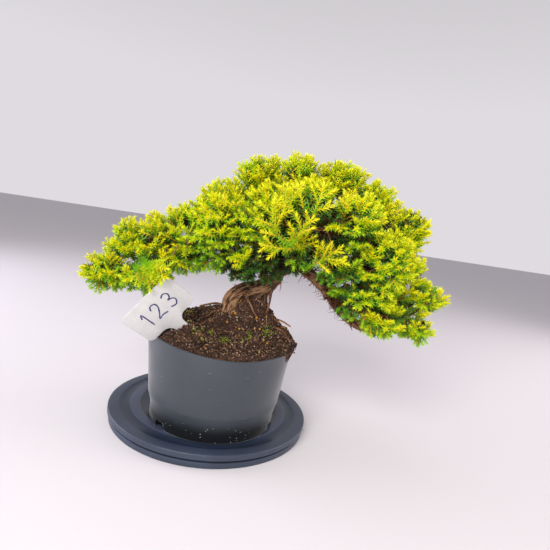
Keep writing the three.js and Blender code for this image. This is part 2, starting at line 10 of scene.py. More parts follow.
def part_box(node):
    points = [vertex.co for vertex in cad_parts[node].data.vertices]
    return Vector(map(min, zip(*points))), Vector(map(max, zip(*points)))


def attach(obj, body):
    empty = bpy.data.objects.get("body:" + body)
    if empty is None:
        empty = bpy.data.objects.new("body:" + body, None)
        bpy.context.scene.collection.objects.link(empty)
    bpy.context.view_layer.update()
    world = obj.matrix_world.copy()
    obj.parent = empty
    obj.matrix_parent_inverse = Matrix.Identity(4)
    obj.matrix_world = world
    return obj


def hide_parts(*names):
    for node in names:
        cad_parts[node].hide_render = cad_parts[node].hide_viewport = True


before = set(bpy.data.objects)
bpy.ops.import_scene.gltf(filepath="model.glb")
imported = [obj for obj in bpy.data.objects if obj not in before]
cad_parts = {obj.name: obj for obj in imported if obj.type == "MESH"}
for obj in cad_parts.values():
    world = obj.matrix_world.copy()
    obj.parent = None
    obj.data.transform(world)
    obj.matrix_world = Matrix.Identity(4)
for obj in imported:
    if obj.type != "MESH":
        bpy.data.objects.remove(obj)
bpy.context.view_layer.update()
mm = 0.001
print("frame loaded:", len(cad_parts), "nodes")


# Colours, nodes and small mesh tools

def hexColour(text):
    parts = [int(text[i:i + 2], 16) / 255 for i in (1, 3, 5)]
    linear = [p / 12.92 if p <= 0.04045 else ((p + 0.055) / 1.055) ** 2.4 for p in parts]
    return (*linear, 1.0)


def addNode(tree, kind, settings=None, inputs=None, stops=None):
    # an input is a plain value, a socket, or a node that stands for its first output
    node = tree.nodes.new("ShaderNode" + kind)
    for name, value in (settings or {}).items():
        setattr(node, name, value)
    for name, value in (inputs or {}).items():
        if isinstance(value, bpy.types.Node):
            value = value.outputs[0]
        if isinstance(value, bpy.types.NodeSocket):
            tree.links.new(value, node.inputs[name])
        else:
            node.inputs[name].default_value = value
    for place, (position, colour) in enumerate(stops or []):
        ramp = node.color_ramp.elements
        stop = ramp[place] if place < 2 else ramp.new(position)
        stop.position = position
        stop.color = hexColour(colour)
    return node


def startMaterial(name, roughness, specular=0.5):
    material = bpy.data.materials.new(name)
    material.use_nodes = True
    shader = material.node_tree.nodes["Principled BSDF"]
    shader.inputs["Roughness"].default_value = roughness
    shader.inputs["Specular IOR Level"].default_value = specular
    return material, material.node_tree, shader


def boxOf(name):
    return [np.array(corner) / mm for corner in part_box(name)]


def perSize(sizeInMm):
    return 1 / (sizeInMm * mm)  # a noise or Voronoi scale that gives features of this size


def deselectAll():
    if bpy.context.object and bpy.context.object.mode != "OBJECT":
        bpy.ops.object.mode_set(mode="OBJECT")
    bpy.ops.object.select_all(action="DESELECT")


def selectOnly(piece):
    deselectAll()
    piece.select_set(True)
    bpy.context.view_layer.objects.active = piece


def settle(piece):
    selectOnly(piece)
    bpy.ops.object.transform_apply(location=True, rotation=True, scale=True)


def applyModifier(piece, kind, **settings):
    selectOnly(piece)
    modifier = piece.modifiers.new(kind.title(), kind)
    for name, value in settings.items():
        setattr(modifier, name, value)
    bpy.ops.object.modifier_apply(modifier=modifier.name)


def smoothUnder(piece, degrees):
    selectOnly(piece)
    bpy.ops.object.shade_smooth_by_angle(angle=math.radians(degrees))


def handOver(piece, body, slotName, *nodes):
    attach(piece, body)
    if nodes:
        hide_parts(*nodes)


def takeArrays(piece):
    # the points and faces of a primitive, which is then removed
    points = np.array([tuple(v.co) for v in piece.data.vertices])
    faces = np.array([tuple(f.vertices) for f in piece.data.polygons])
    bpy.data.objects.remove(piece)
    return points, faces


def meshPiece(name, vertices, faces, materials, smooth=True):
    mesh = bpy.data.meshes.new(name)
    mesh.from_pydata((vertices * mm).tolist(), [], faces)
    for material in materials:
        mesh.materials.append(material)
    mesh.shade_smooth() if smooth else mesh.shade_flat()
    piece = bpy.data.objects.new(name, mesh)
    bpy.context.scene.collection.objects.link(piece)
    return piece


def pointColours(piece, name, colours):
    attribute = piece.data.color_attributes.new(name, "FLOAT_COLOR", "POINT")
    full = np.ones((len(colours), 4), np.float32)
    full[:, :3] = colours
    attribute.data.foreach_set("color", full.ravel())


def latticeNoise(points, size, seed=0):
    scaled = np.asarray(points, float) / size + 31.7 * seed
    cell = np.floor(scaled).astype(np.int64)
    part = scaled - cell
    part = part * part * (3 - 2 * part)
    total = np.zeros(len(scaled))
    for dx, dy, dz in np.ndindex(2, 2, 2):
        x, y, z = (cell + (dx, dy, dz)).T
        mixed = (x * 73856093) ^ (y * 19349663) ^ (z * 83492791)
        mixed = (mixed ^ (mixed >> 13)) * 1274126177
        value = ((mixed ^ (mixed >> 16)) & 0xFFFF) / 32767.5 - 1
        weight = abs(1 - dx - part[:, 0]) * abs(1 - dy - part[:, 1]) * abs(1 - dz - part[:, 2])
        total += weight * value
    return total


def unit(rows):
    rows = np.asarray(rows, float)
    return rows / np.maximum(np.linalg.norm(rows, axis=-1, keepdims=True), 1e-9)


# Wood: the limbs' centre points and radii, as in the solid frame, then finer bark over them

woodSettings = {
    "seed": 5,
    "limbs": {
        "trunk": [
            [13, -23, 100, 11.5], [10, -22, 107, 9.6], [7.5, -21, 115, 8.2], [8, -20, 123, 7.6],
            [11, -19, 131, 7.5], [19, -18, 138, 7.7], [28, -17, 141.5, 7.8], [37, -16, 145, 7.9],
            [44.5, -14, 150, 8], [50, -12, 159, 6.5], [53.5, -10, 169, 6.4], [58, -8, 180, 5.7],
            [62, -6, 195, 4.7], [66, -3, 213, 3.8], [70, 0, 234, 2.6],
        ],
        "arch": [
            [54, -9, 163, 5.6], [62, -10, 169.5, 5.6], [71, -12, 169.5, 5.4], [82, -15, 164, 5.2],
            [93, -18, 156, 4.9], [103, -21, 147, 4.8], [112, -24, 138, 4.9], [122, -26, 130, 4.7],
            [133, -27, 124, 4], [147, -26, 122, 3], [163, -20, 124, 2.2], [180, -14, 129, 1.6],
        ],
        "left": [
            [58, -8, 174, 4.6], [36, -11, 184, 4.2], [8, -9, 187, 3.8], [-20, -7, 181, 3.4],
            [-46, -8, 172, 3], [-72, -8, 164, 2.4], [-97, -6, 156, 1.9], [-112, -6, 149, 1.6],
        ],
        "right": [
            [62, -6, 196, 4], [84, -4, 211, 3.6], [110, -2, 220, 3], [136, -2, 215, 2.5],
            [158, -3, 202, 2], [168, -4, 186, 1.6],
        ],
        "front": [[60, -8, 184, 3.4], [59, -26, 196, 2.9], [66, -38, 206, 2.4], [88, -46, 209, 1.8]],
        "back": [[61, -6, 188, 3.6], [59, 14, 198, 3.1], [60, 32, 210, 2.6], [76, 46, 222, 1.9]],
        "cascade": [
            [118, -25, 133, 3.6], [130, -20, 144, 3], [143, -16, 150, 2.4], [160, -6, 152, 1.8],
            [176, -8, 153, 1.5],
        ],
    },
    "roots": [
        [[46, -18, 143, 2.3], [46.5, -21, 135, 1.3], [46, -23, 126, 1.1], [44.5, -26.8, 118.2, 1]],
        [[24, -25, 134, 1.7], [28.5, -29, 129.5, 0.95], [33, -31, 122.5, 0.85], [37.5, -31.2, 116.7, 0.8],
         [42.4, -32.8, 111.6, 0.75], [50.2, -31.4, 108.4, 0.6]],
        [[56, -19, 116, 0.9], [63, -23, 115, 0.8], [70, -25, 112, 0.6]],
        [[49.1, -22.7, 118.8, 0.7], [53.7, -19.2, 115.2, 0.65], [58.8, -22, 113.8, 0.5]],
        [[53.9, -27.1, 110, 1], [64.1, -24.7, 106.1, 0.95], [68.2, -28.5, 101.4, 0.85],
         [71.9, -30.4, 99.1, 0.8],
         [74.9, -25.6, 98.2, 0.7]],
        [[4, -16, 118, 2.6], [-4.8, 8, 117, 1.3], [-13, 14, 115.5, 1.1], [-25.4, 11.3, 111.5, 0.9]],
        [[5, -27, 116, 3], [-1, -31, 111.5, 1.3], [-7, -35, 106, 1], [-12, -38, 99, 0.8]],
        [[2, -24, 119, 2.4], [-5, -24, 114.5, 1.1], [-12, -27, 110, 0.8]],
    ],
    # dead shreds and sprigs that hang from the wood
    "hanging": [
        [[70.1, -12, 174.3, 0.6], [74.5, -13, 165.1, 0.5], [71.3, -13, 153.6, 0.25]],
        [[53.9, -24, 157.2, 0.5], [54.9, -25, 150, 0.4], [54.6, -25, 143.9, 0.2]],
        [[64.5, -14, 171.6, 0.5], [64.9, -14.5, 166, 0.4], [65.3, -15, 159.9, 0.3]],
        [[82, -16, 166.5, 0.5], [85.2, -17, 158.2, 0.45], [82.1, -17, 152.8, 0.5]],
        [[89.6, -18, 161, 0.5], [91.6, -18.5, 156, 0.4], [94.1, -19, 150.9, 0.25]],
        [[-36.3, -42, 184.3, 0.35], [-35.6, -43, 177.1, 0.32], [-35.3, -42, 158.1, 0.25]],
        [[-44.6, -38, 174.9, 0.6], [-46.3, -38.5, 169, 0.5], [-48.3, -39, 163.6, 0.4]],
    ],
    "deadStubs": [
        [[136, -30, 143, 2.6], [132, -41, 148, 2], [131, -48, 154, 1.2]],
        [[74, -14, 169, 4], [78, -20, 174, 2.8], [80, -25, 181, 1.6]],
    ],
    # sides and step in mm: fine for the trunk and the arch, which show
    "fine": (36, 1.0), "coarse": (14, 2.5),
    # thin limbs: sides, step in mm and how young their bark is
    "thin": {"roots": (14, 1.2, 0.8), "deadStubs": (14, 1.2, 0), "twigs": (8, 3, 0.9), "hanging": (6, 2, 1)},
    "moss": (46, -16, 150, 10),  # the green film under the arch: centre and reach
    "ridge": 0.62, "lump": 0.5, "flake": 0.6,
    "flakes": 320,
}


def smoothPath(stations, step):
    points = np.array(stations, float)
    padded = np.vstack([2 * points[0] - points[1], points, 2 * points[-1] - points[-2]])
    fine = []
    for k in range(1, len(padded) - 2):
        a, b, c, d = padded[k - 1:k + 3]
        count = max(2, int(np.linalg.norm((c - b)[:3]) / step))
        for t in np.arange(count) / count:
            fine.append(0.5 * (2 * b + (c - a) * t + (2 * a - 5 * b + 4 * c - d) * t ** 2
                               + (3 * b - a - 3 * c + d) * t ** 3))
    fine.append(points[-1])
    return np.array(fine)


def lengthsAlong(centres):
    return np.concatenate([[0], np.cumsum(np.linalg.norm(np.diff(centres, axis=0), axis=1))])


def tubeFrames(centres):
    tangents = unit(np.gradient(centres, axis=0))
    normal = unit(np.cross(tangents[0], (0.3, 0.2, 1)))
    normals = []
    for tangent in tangents:
        normal = unit(normal - tangent * np.dot(normal, tangent))
        normals.append(normal)
    normals = np.array(normals)
    return tangents, normals, np.cross(tangents, normals)


def spokesAround(normals, others, angles):
    return normals[:, None] * np.cos(angles)[None, :, None] + others[:, None] * np.sin(angles)[None, :, None]


def tube(stations, sides, step, relief=None):
    # a closed tube with its angle and its length along each vertex, for the bark's pattern
    path = smoothPath(stations, step)
    centres, radii = path[:, :3], path[:, 3]
    tangents, normals, others = tubeFrames(centres)
    along = lengthsAlong(centres)
    angles = np.arange(sides) * 2 * np.pi / sides
    spokes = spokesAround(normals, others, angles)
    angleGrid = np.tile(angles, (len(path), 1))
    alongGrid = np.tile(along[:, None], (1, sides))
    radiusGrid = np.tile(radii[:, None], (1, sides))
    rise = relief(centres, spokes, angleGrid, alongGrid, radiusGrid) if relief else np.zeros_like(angleGrid)
    shell = centres[:, None] + spokes * (radiusGrid + rise)[..., None]
    vertices = np.vstack([shell.reshape(-1, 3), centres[:1] - tangents[:1] * radii[0] * 0.5,
                          centres[-1:] + tangents[-1:] * radii[-1] * 0.8])
    faces = []
    for k in range(len(path) - 1):
        for i in range(sides):
            j = (i + 1) % sides
            faces.append((k * sides + i, k * sides + j, (k + 1) * sides + j, (k + 1) * sides + i))
    first, last, end = len(vertices) - 2, len(vertices) - 1, (len(path) - 1) * sides
    for i in range(sides):
        j = (i + 1) % sides
        faces.append((first, j, i))
        faces.append((last, end + i, end + j))
    return vertices, faces, rise, angleGrid, alongGrid, radiusGrid


def barkRelief(centres, spokes, angle, along, radius):
    # long fibrous plates that twist slowly round the limb, with cracks between them
    twist = angle + 0.02 * along
    ring = np.stack([np.cos(twist) * radius, np.sin(twist) * radius], axis=-1)
    flow = np.concatenate([ring / 1.9, along[..., None] / 13], axis=-1).reshape(-1, 3)
    plates = latticeNoise(flow, 1, 1).reshape(angle.shape)
    fibres = latticeNoise(flow * (3.4, 3.4, 2.2), 1, 2).reshape(angle.shape)
    cracks = 1 - np.abs(latticeNoise(flow * (1.1, 1.1, 0.8), 1, 3)).reshape(angle.shape)
    surface = (centres[:, None] + spokes * radius[..., None]).reshape(-1, 3)
    lumps = latticeNoise(surface, 7, 4).reshape(angle.shape)
    size = np.clip(radius / 6, 0.25, 1.2)
    s = woodSettings
    return size * (s["ridge"] * plates + s["flake"] * fibres - s["ridge"] * np.clip(cracks - 0.82, 0, 1) * 4
                   + s["lump"] * lumps * 1.5)


class Gathered:
    # collects parts of one piece, so that they become one mesh
    def __init__(self):
        self.vertices, self.faces, self.colours, self.maps = [], [], [], []
        self.count = 0

    def add(self, vertices, faces, colours, uv=None):
        self.vertices.append(np.asarray(vertices, float))
        self.faces.extend(tuple(int(v) + self.count for v in face) for face in faces)
        self.colours.append(np.broadcast_to(np.asarray(colours, float), (len(vertices), 3)))
        self.maps.append(np.zeros((len(vertices), 2)) if uv is None else uv)
        self.count += len(vertices)

    def piece(self, name, attribute, materials, smooth=True, uvName=None):
        piece = meshPiece(name, np.vstack(self.vertices), self.faces, materials, smooth)
        pointColours(piece, attribute, np.vstack(self.colours))
        if uvName:
            corners = np.empty(len(piece.data.loops), np.int64)
            piece.data.loops.foreach_get("vertex_index", corners)
            layer = piece.data.uv_layers.new(name=uvName)
            layer.data.foreach_set("uv", np.vstack(self.maps)[corners].ravel())
        return piece


def fibrousBark():
    # juniper bark peels in long fibres: matt, red-brown in the cracks, which are also painted nearly black as
    # painted shade, and pale tan on the ridges
    material, tree, shader = startMaterial("juniperBark", 0.86, 0.25)
    wear = addNode(tree, "Attribute", {"attribute_name": "bark"})
    parts = addNode(tree, "SeparateColor", inputs={"Color": wear})
    uv = addNode(tree, "UVMap", {"uv_map": "grain"})
    stretched = addNode(tree, "Mapping", inputs={"Vector": uv, "Scale": (1, 0.16, 1)})
    fibres = addNode(tree, "TexNoise", inputs={
        "Vector": stretched, "Scale": perSize(1.4), "Detail": 6, "Roughness": 0.7})
    place = addNode(tree, "TexCoord")
    blotch = addNode(tree, "TexNoise", inputs={
        "Vector": place.outputs["Object"], "Scale": perSize(6), "Detail": 3})
    sharp = addNode(tree, "MapRange", inputs={"Value": fibres, 1: 0.34, 2: 0.66, 3: 0.1, 4: 0.74})
    height = addNode(tree, "Math", {"operation": "ADD"}, {0: sharp, 1: parts.outputs["Red"]})
    shifted = addNode(tree, "Math", {"operation": "MULTIPLY_ADD"}, {0: blotch, 1: 0.35, 2: height})
    tone = addNode(tree, "ValToRGB", inputs={"Fac": shifted}, stops=[
        (0.46, "#0e0806"), (1.0, "#927052"), (0.64, "#2a1a10"), (0.8, "#523726")])
    young = addNode(tree, "ValToRGB", inputs={"Fac": shifted}, stops=[
        (0.4, "#22110a"), (1.0, "#94684c"), (0.7, "#523222")])
    aged = addNode(tree, "Mix", {"data_type": "RGBA"}, {0: parts.outputs["Blue"], 6: tone, 7: young})
    mossy = addNode(tree, "Mix", {"data_type": "RGBA"}, {
        0: parts.outputs["Green"], 6: aged.outputs[2], 7: hexColour("#75663a")})
    bump = addNode(tree, "Bump", inputs={"Strength": 1.0, "Distance": 0.9 * mm, "Height": fibres})
    tree.links.new(mossy.outputs[2], shader.inputs["Base Color"])
    tree.links.new(bump.outputs[0], shader.inputs["Normal"])
    return material


def addLimb(wood, stations, sides, step, young, moss=None):
    vertices, faces, rise, angle, along, radius = tube(stations, sides, step, barkRelief)
    # crack shade: the relief's cracks are painted darker as painted shade, and the ridges paler as weathered
    # bark
    crackShadeAndWear = np.clip(0.5 + rise.ravel() / (2.2 * np.clip(radius.ravel() / 6, 0.25, 1.2)), 0, 1) * 0.5
    outward = vertices[:len(crackShadeAndWear)] - smoothPath(stations, step)[:, :3].repeat(sides, axis=0)
    crackShadeAndWear -= 0.09 * unit(outward)[:, 2]  # the upper side is darker with damp and algae
    colours = np.zeros((len(vertices), 3))
    colours[:len(crackShadeAndWear), 0] = crackShadeAndWear
    colours[-2:, 0] = 0.2
    colours[:, 2] = young
    if moss:
        centre, reach = np.array(moss[:3]), moss[3]
        near = np.exp(-(np.linalg.norm(vertices - centre, axis=1) / reach) ** 2)
        colours[:, 1] = np.clip(near * (0.35 + 0.9 * latticeNoise(vertices, 2.5, 9)), 0, 0.6)
    uv = np.zeros((len(vertices), 2))
    uv[:len(crackShadeAndWear), 0] = (angle * radius).ravel() * mm
    uv[:len(crackShadeAndWear), 1] = along.ravel() * mm
    wood.add(vertices, faces, colours, uv)


def ribbon(start, direction, length, width, curl, draw, facing=None):
    # a shred of bark: a thin tapering strip that curls away
    steps = 6
    direction = unit(direction)
    side = unit(np.cross(direction, draw.normal(size=3) if facing is None else facing))
    bend = unit(np.cross(side, direction))
    top, place = [], np.array(start, float)
    for k in range(steps + 1):
        share = k / steps
        half = side * width / 2 * (1 - 0.8 * share)
        top += [place - half, place + half]
        place = place + unit(direction + bend * curl * share) * length / steps
    top = np.array(top)
    vertices = np.vstack([top, top + bend * 0.18])
    count = len(top)
    faces = []
    for k in range(steps):
        a = 2 * k
        faces += [(a, a + 1, a + 3, a + 2), (count + a, count + a + 2, count + a + 3, count + a + 1)]
        faces += [(a, a + 2, count + a + 2, count + a), (a + 1, count + a + 1, count + a + 3, a + 3)]
    faces += [(0, count, count + 1, 1), (count - 2, count - 1, 2 * count - 1, 2 * count - 2)]
    return vertices, faces


def buildWood(padCentres):
    s = woodSettings
    draw = np.random.default_rng(s["seed"])
    wood = Gathered()
    for name, stations in s["limbs"].items():
        sides, step = s["fine" if name in ("trunk", "arch") else "coarse"]
        if name == "trunk":
            addLimb(wood, stations, sides, step, 0, s["moss"])
        else:
            addLimb(wood, stations, sides, step, 0.6)
    for kind, (sides, step, young) in s["thin"].items():
        for stations in padTwigs(padCentres) if kind == "twigs" else s[kind]:
            addLimb(wood, stations, sides, step, young)
    trunk = smoothPath(s["limbs"]["trunk"][:12], 1)
    arch = smoothPath(s["limbs"]["arch"][:9], 1)
    for k in range(s["flakes"]):
        path = arch if k % 2 == 0 else trunk
        place = draw.integers(2, len(path) - 3)
        spot = path[place]
        limbWay = unit(path[place + 1][:3] - spot[:3]) * (1 if draw.uniform() < 0.5 else -1)
        outward = unit(np.cross(limbWay, draw.normal(size=3)) + (0, -0.5, -0.3))
        loose = draw.uniform(0.05, 0.5) if k % 4 else 0.9
        hang = unit(limbWay + outward * loose + draw.normal(size=3) * 0.15 - (0, 0, 0.6 * loose))
        vertices, faces = ribbon(spot[:3] + outward * spot[3] * 1.01, hang, draw.uniform(3, 9),
                                 draw.uniform(0.5, 1.6), draw.uniform(-0.5, 0.8), draw, outward)
        wood.add(vertices, faces, (draw.uniform(0.05, 0.6), 0, draw.uniform(0, 1)))
    piece = wood.piece("juniper_limbs", "bark", [fibrousBark()], True, "grain")
    handOver(piece, "turntable", "bark", "juniper_wood")
    print("wood:", len(piece.data.polygons), "faces")


# Foliage: a needle is modelled once, shoots are made of needles, and sprays of shoots

foliageSettings = {
    "seed": 11,
    "needleLength": 5.0, "needleWidth": 1.35, "needleKeel": 0.45,
    "whorlGap": 1.7, "tipGap": 0.77, "tipStretch": 5,
    "spreadOld": 60, "spreadTip": 38,
    "stemRadius": 0.7, "stemTip": 0.45,
    "shootLengths": [7, 10, 13, 17, 22, 28], "variants": 3,
    "spraySpacing": 12.6, "sprayLength": (18, 27), "sideShoots": 7, "sideAngle": 45,
    # where a pad looks for its skin: number of ways, how far in mm and how far in pad sizes
    "directions": 420, "skinSearch": 75, "farthest": 1.6,
    "swell": 1.02, "blend": 8, "tipInset": 3.2,  # the lobes' size and how softly they run together
    # lift turns sprays upwards; freshReach and stemReach are how far back from a tip needles and stems stay
    # fresh; paintedShadeDepth is how deep in the crown the needles darken, partly older growth and partly
    # painted shade
    "lift": 0.85, "freshReach": 13, "stemReach": 34, "paintedShadeDepth": 12,
    # shaded shoots inside: their lengths, whorl gap, needle scale, number a pad and share that is dead
    "innerLengths": [9, 14], "innerGap": 3.4, "innerNeedle": (1.5, 1, 1.35), "innerSprays": 10,
    "innerSpray": 14,
    "innerReach": 0.62, "deadShare": 0.22,
    # some pads are moved and resized a little to follow the outline: centre, then half widths
    "trims": {
        "foliage_crown_1": (5, 0, -6, -3, 0, -3), "foliage_left_top": (5, 0, -4, -2, 0, -2),
        "foliage_crown_5": (-3, 0, -1, 0, 0, 0), "foliage_crown_7": (-2, 0, 0, -2, 0, 0),
        "foliage_left_tip": (0, 0, -3, 0, 0, 1), "foliage_left_low": (0, 0, -3, 0, 0, 1),
        "foliage_cascade_3": (0, 0, 2, 0, 0, -2), "foliage_cascade_4": (0, 0, -1, 0, 0, -2),
    },
    # lobes that close the crown between the pads: centre and half widths
    "bridges": [
        ("foliage_front_3", (86, -32, 203), (26, 20, 20)), ("foliage_front_2", (48, -24, 206), (26, 20, 20)),
        ("foliage_crown_3", (92, 6, 214), (34, 30, 22)), ("foliage_front_1", (-14, -18, 188), (28, 24, 22)),
        ("foliage_skirt", (56, -22, 180), (20, 16, 14)), ("foliage_front_6", (128, -26, 176), (24, 20, 20)),
        ("foliage_left_neck", (-48, -6, 199), (18, 18, 11)),
        ("foliage_left_mid", (-47, -12, 163), (20, 16, 10)),
        ("foliage_front_6", (121, -36, 148), (15, 13, 14)), ("foliage_fork", (54, -42, 195), (18, 14, 14)),
    ],
    # shaded shoots alone, in the middle of the crown: centre, half widths and number
    "shade": [
        ("foliage_fork", (66, -18, 196), (42, 22, 16), 26),
        ("foliage_back_3", (80, 14, 212), (60, 22, 20), 26),
        ("foliage_front_5", (122, -8, 190), (30, 24, 24), 22),
        ("foliage_front_1", (0, -6, 196), (36, 20, 16), 14),
        ("foliage_left_mid", (-66, -6, 168), (34, 16, 12), 12),
        ("foliage_cascade_1", (148, -10, 152), (30, 20, 14), 12),
    ],
    # shaded pads: the share of their freshness that stays; the rest is painted shade
    "paintedShadePads": {"foliage_skirt": 0.4, "foliage_front_6": 0.7},
    # long amber shoots that stand out at the front, each a list of points
    "leaders": [
        [(56, -66, 189), (53.6, -72, 191.4), (45.6, -79, 195.7), (39.2, -82, 206.2), (37.2, -81, 216),
         (37, -78, 224.3)],
        [(38.7, -81, 213.8), (41, -82, 220), (44.2, -79, 226.8)],
        [(42.4, -80, 211.9), (47, -82, 215), (53, -80, 217.7)],
        [(57.5, -66, 190.1), (57.5, -72, 192), (60.6, -80, 199.2), (64.9, -83, 209.3), (69.1, -82, 217.1)],
        [(59.7, -74, 211.2), (55.1, -79, 216.3), (52.1, -81, 223.4), (49.7, -80, 231.4), (48.8, -77, 239.7)],
        [(62, -78, 222.2), (59.6, -80, 228.8), (55, -78, 238.9)],
        [(71.2, -74, 218.9), (72.3, -79, 221.3), (73.3, -82, 227.7), (75.4, -81, 233.9), (75.3, -78, 243.5)],
        [(73.8, -80, 222.6), (79, -81, 224), (85.6, -80, 227.1)],
        [(98.8, -72, 223.9), (98, -78, 229.2), (97.3, -78, 237.2)],
        [(72.6, -40, 168.4), (75.3, -48, 172.7), (81.3, -60, 178.6), (88.1, -66, 183.8), (94.3, -68, 190.5),
         (99.1, -68, 196)],
        [(90.1, -66, 182.8), (97.8, -68, 180.4), (103.1, -68, 184.3)],
        [(86.6, -65, 185.9), (84.5, -68, 191), (83.4, -68, 196.3)],
        [(56.7, -68, 187.3), (49.8, -73, 187.2), (39.4, -75, 186.9), (33.4, -75, 188)],
        [(67.8, -45, 180), (68.6, -58, 188), (69.5, -66, 195.3), (72.5, -70, 201.8)],
        [(65.4, -45, 183.3), (62.9, -58, 190.6), (60, -66, 196.4), (55, -68, 200.8)],
        [(-78.3, -36, 157.4), (-66.3, -55, 156), (-55.4, -75, 155.8), (-45.7, -88, 156.7),
         (-34.5, -92, 156.9)],
        [(-75.1, -36, 154.1), (-63.2, -58, 153.1), (-52.4, -78, 152.3), (-43, -90, 152.5),
         (-36.6, -92, 151.2)],
        [(-82.3, -36, 151.2), (-70.9, -60, 149.5), (-60.3, -80, 147.1), (-51.2, -90, 146.3),
         (-44.2, -91, 145.1)],
    ],
    "leaderFrom": 0.4, "leaderGap": 4.6, "leaderAge": 0.45, "leaderSides": (6, 14),
    "lowLeft": -30, "lowAge": 0.7, "lowSides": (6, 9),  # leaders over the tag, left of this x
    "thatch": 46,  # dead sprigs lying along the arch
}


def modelNeedle():
    # a three-sided spike, at unit size, with its base in the stem
    deselectAll()
    bpy.ops.mesh.primitive_cone_add(vertices=3, radius1=0.5, radius2=0, depth=1, location=(0, 0, 0.5))
    piece = bpy.context.object
    bpy.ops.object.transform_apply(location=True)
    applyModifier(piece, "TRIANGULATE")
    return takeArrays(piece)


def shapeNeedle(points):
    # +Z along the needle, +Y towards its keel; the two sides of its base are the upper face
    s = foliageSettings
    shaped = points.copy()
    ring = points[:, 2] < 0.5
    keel = ring & (np.abs(points[:, 0]) < 0.05)
    sides = ring & ~keel
    shaped[keel] = (0, s["needleKeel"], 0)
    shaped[sides, 0] = np.sign(points[sides, 0]) * s["needleWidth"] / 2
    shaped[sides, 1] = -0.15
    shaped[:, 2] = points[:, 2] * s["needleLength"]
    upper = np.where(keel, 0.0, 1.0)
    return shaped, upper


def modelShoot(length, needle, gap, draw):
    # whorls of three needles, turned by 60 degrees each time, crowded at the blunt tip
    s = foliageSettings
    points, faces, upper = needle
    vertices, triangles, growth, kinds = [], [], [], []
    z, turn, count = 1.2, draw.uniform(0, 6), 0
    bow = draw.uniform(-0.1, 0.1)
    alongNeedle, zero = points[:, 2] / points[:, 2].max(), np.zeros(len(points))
    while z < length:
        left = length - z
        atTip = np.clip(1 - left / s["tipStretch"], 0, 1)
        spread = math.radians(s["spreadOld"] + (s["spreadTip"] - s["spreadOld"]) * atTip ** 0.8)
        number = 3 if left > 1.0 else 5
        for k in range(number):
            azimuth = turn + k * 2 * math.pi / number + draw.normal(0, 0.15)
            tilt = max(0.1, spread + draw.normal(0, 0.11) - (0.35 if number == 5 else 0))
            radial = np.array([math.cos(azimuth), math.sin(azimuth), 0])
            axis = np.array([0, 0, 1.0])
            ahead = math.cos(tilt) * axis + math.sin(tilt) * radial
            keel = -unit(axis - ahead * ahead[2])
            across = np.cross(keel, ahead)
            grown = points * (1, 1, (1 - 0.25 * atTip) * draw.uniform(0.85, 1.12))
            placed = grown @ np.array([across, keel, ahead])
            placed += axis * z + radial * 0.2
            placed[:, 0] += bow * z * z / length
            vertices.append(placed)
            triangles.append(faces + count)
            growth.append(np.stack([np.full(len(points), left), alongNeedle, upper, zero], axis=1))
            kinds.append(np.zeros(len(faces), np.int32))
            count += len(points)
        turn += math.pi / 3 + draw.normal(0, 0.1)
        z += gap * (1 - atTip) + gap * s["tipGap"] / s["whorlGap"] * atTip
    levels = 1 if length < 12 else 2
    rings, stem = [], []
    for k in range(levels + 1):
        share = k / levels
        radius = s["stemRadius"] + (s["stemTip"] - s["stemRadius"]) * share
        for i in range(3):
            angle = 2 * math.pi * i / 3
            rings.append([radius * math.cos(angle) + bow * share ** 2 * length, radius * math.sin(angle),
                          share * (length + 0.6)])
    for k in range(levels):
        for i in range(3):
            a, b = k * 3 + i, k * 3 + (i + 1) % 3
            stem += [(a, b, b + 3), (a, b + 3, a + 3)]
    stem += [(0, 2, 1), (levels * 3, levels * 3 + 1, levels * 3 + 2)]
    rings = np.array(rings)
    zero = np.zeros(len(rings))
    vertices.append(rings)
    triangles.append(np.array(stem) + count)
    growth.append(np.stack([length - rings[:, 2], zero, zero, zero + 1], axis=1))
    kinds.append(np.ones(len(stem), np.int32))
    return np.vstack(vertices), np.vstack(triangles), np.vstack(growth), np.concatenate(kinds)


def basisAlong(axis, roll):
    axis = unit(axis)
    side = unit(np.cross(axis, (0.31, 0.17, 0.93) if abs(axis[2]) < 0.9 else (1, 0.1, 0)))
    other = np.cross(axis, side)
    turned = math.cos(roll) * side + math.sin(roll) * other
    return turned, np.cross(axis, turned), axis


def bendAlong(points, path):
    # lays a straight shoot, which grows along +Z, on a curved path
    centres = path[:, :3]
    along = lengthsAlong(centres)
    z = points[:, 2]

    def onPath(rows):
        return np.stack([np.interp(z, along, rows[:, k]) for k in range(3)], axis=1)

    tangents, normals, others = (onPath(rows) for rows in tubeFrames(centres))
    beyond = (z - np.clip(z, 0, along[-1]))[:, None]
    return onPath(centres) + points[:, :1] * normals + points[:, 1:2] * others + beyond * tangents


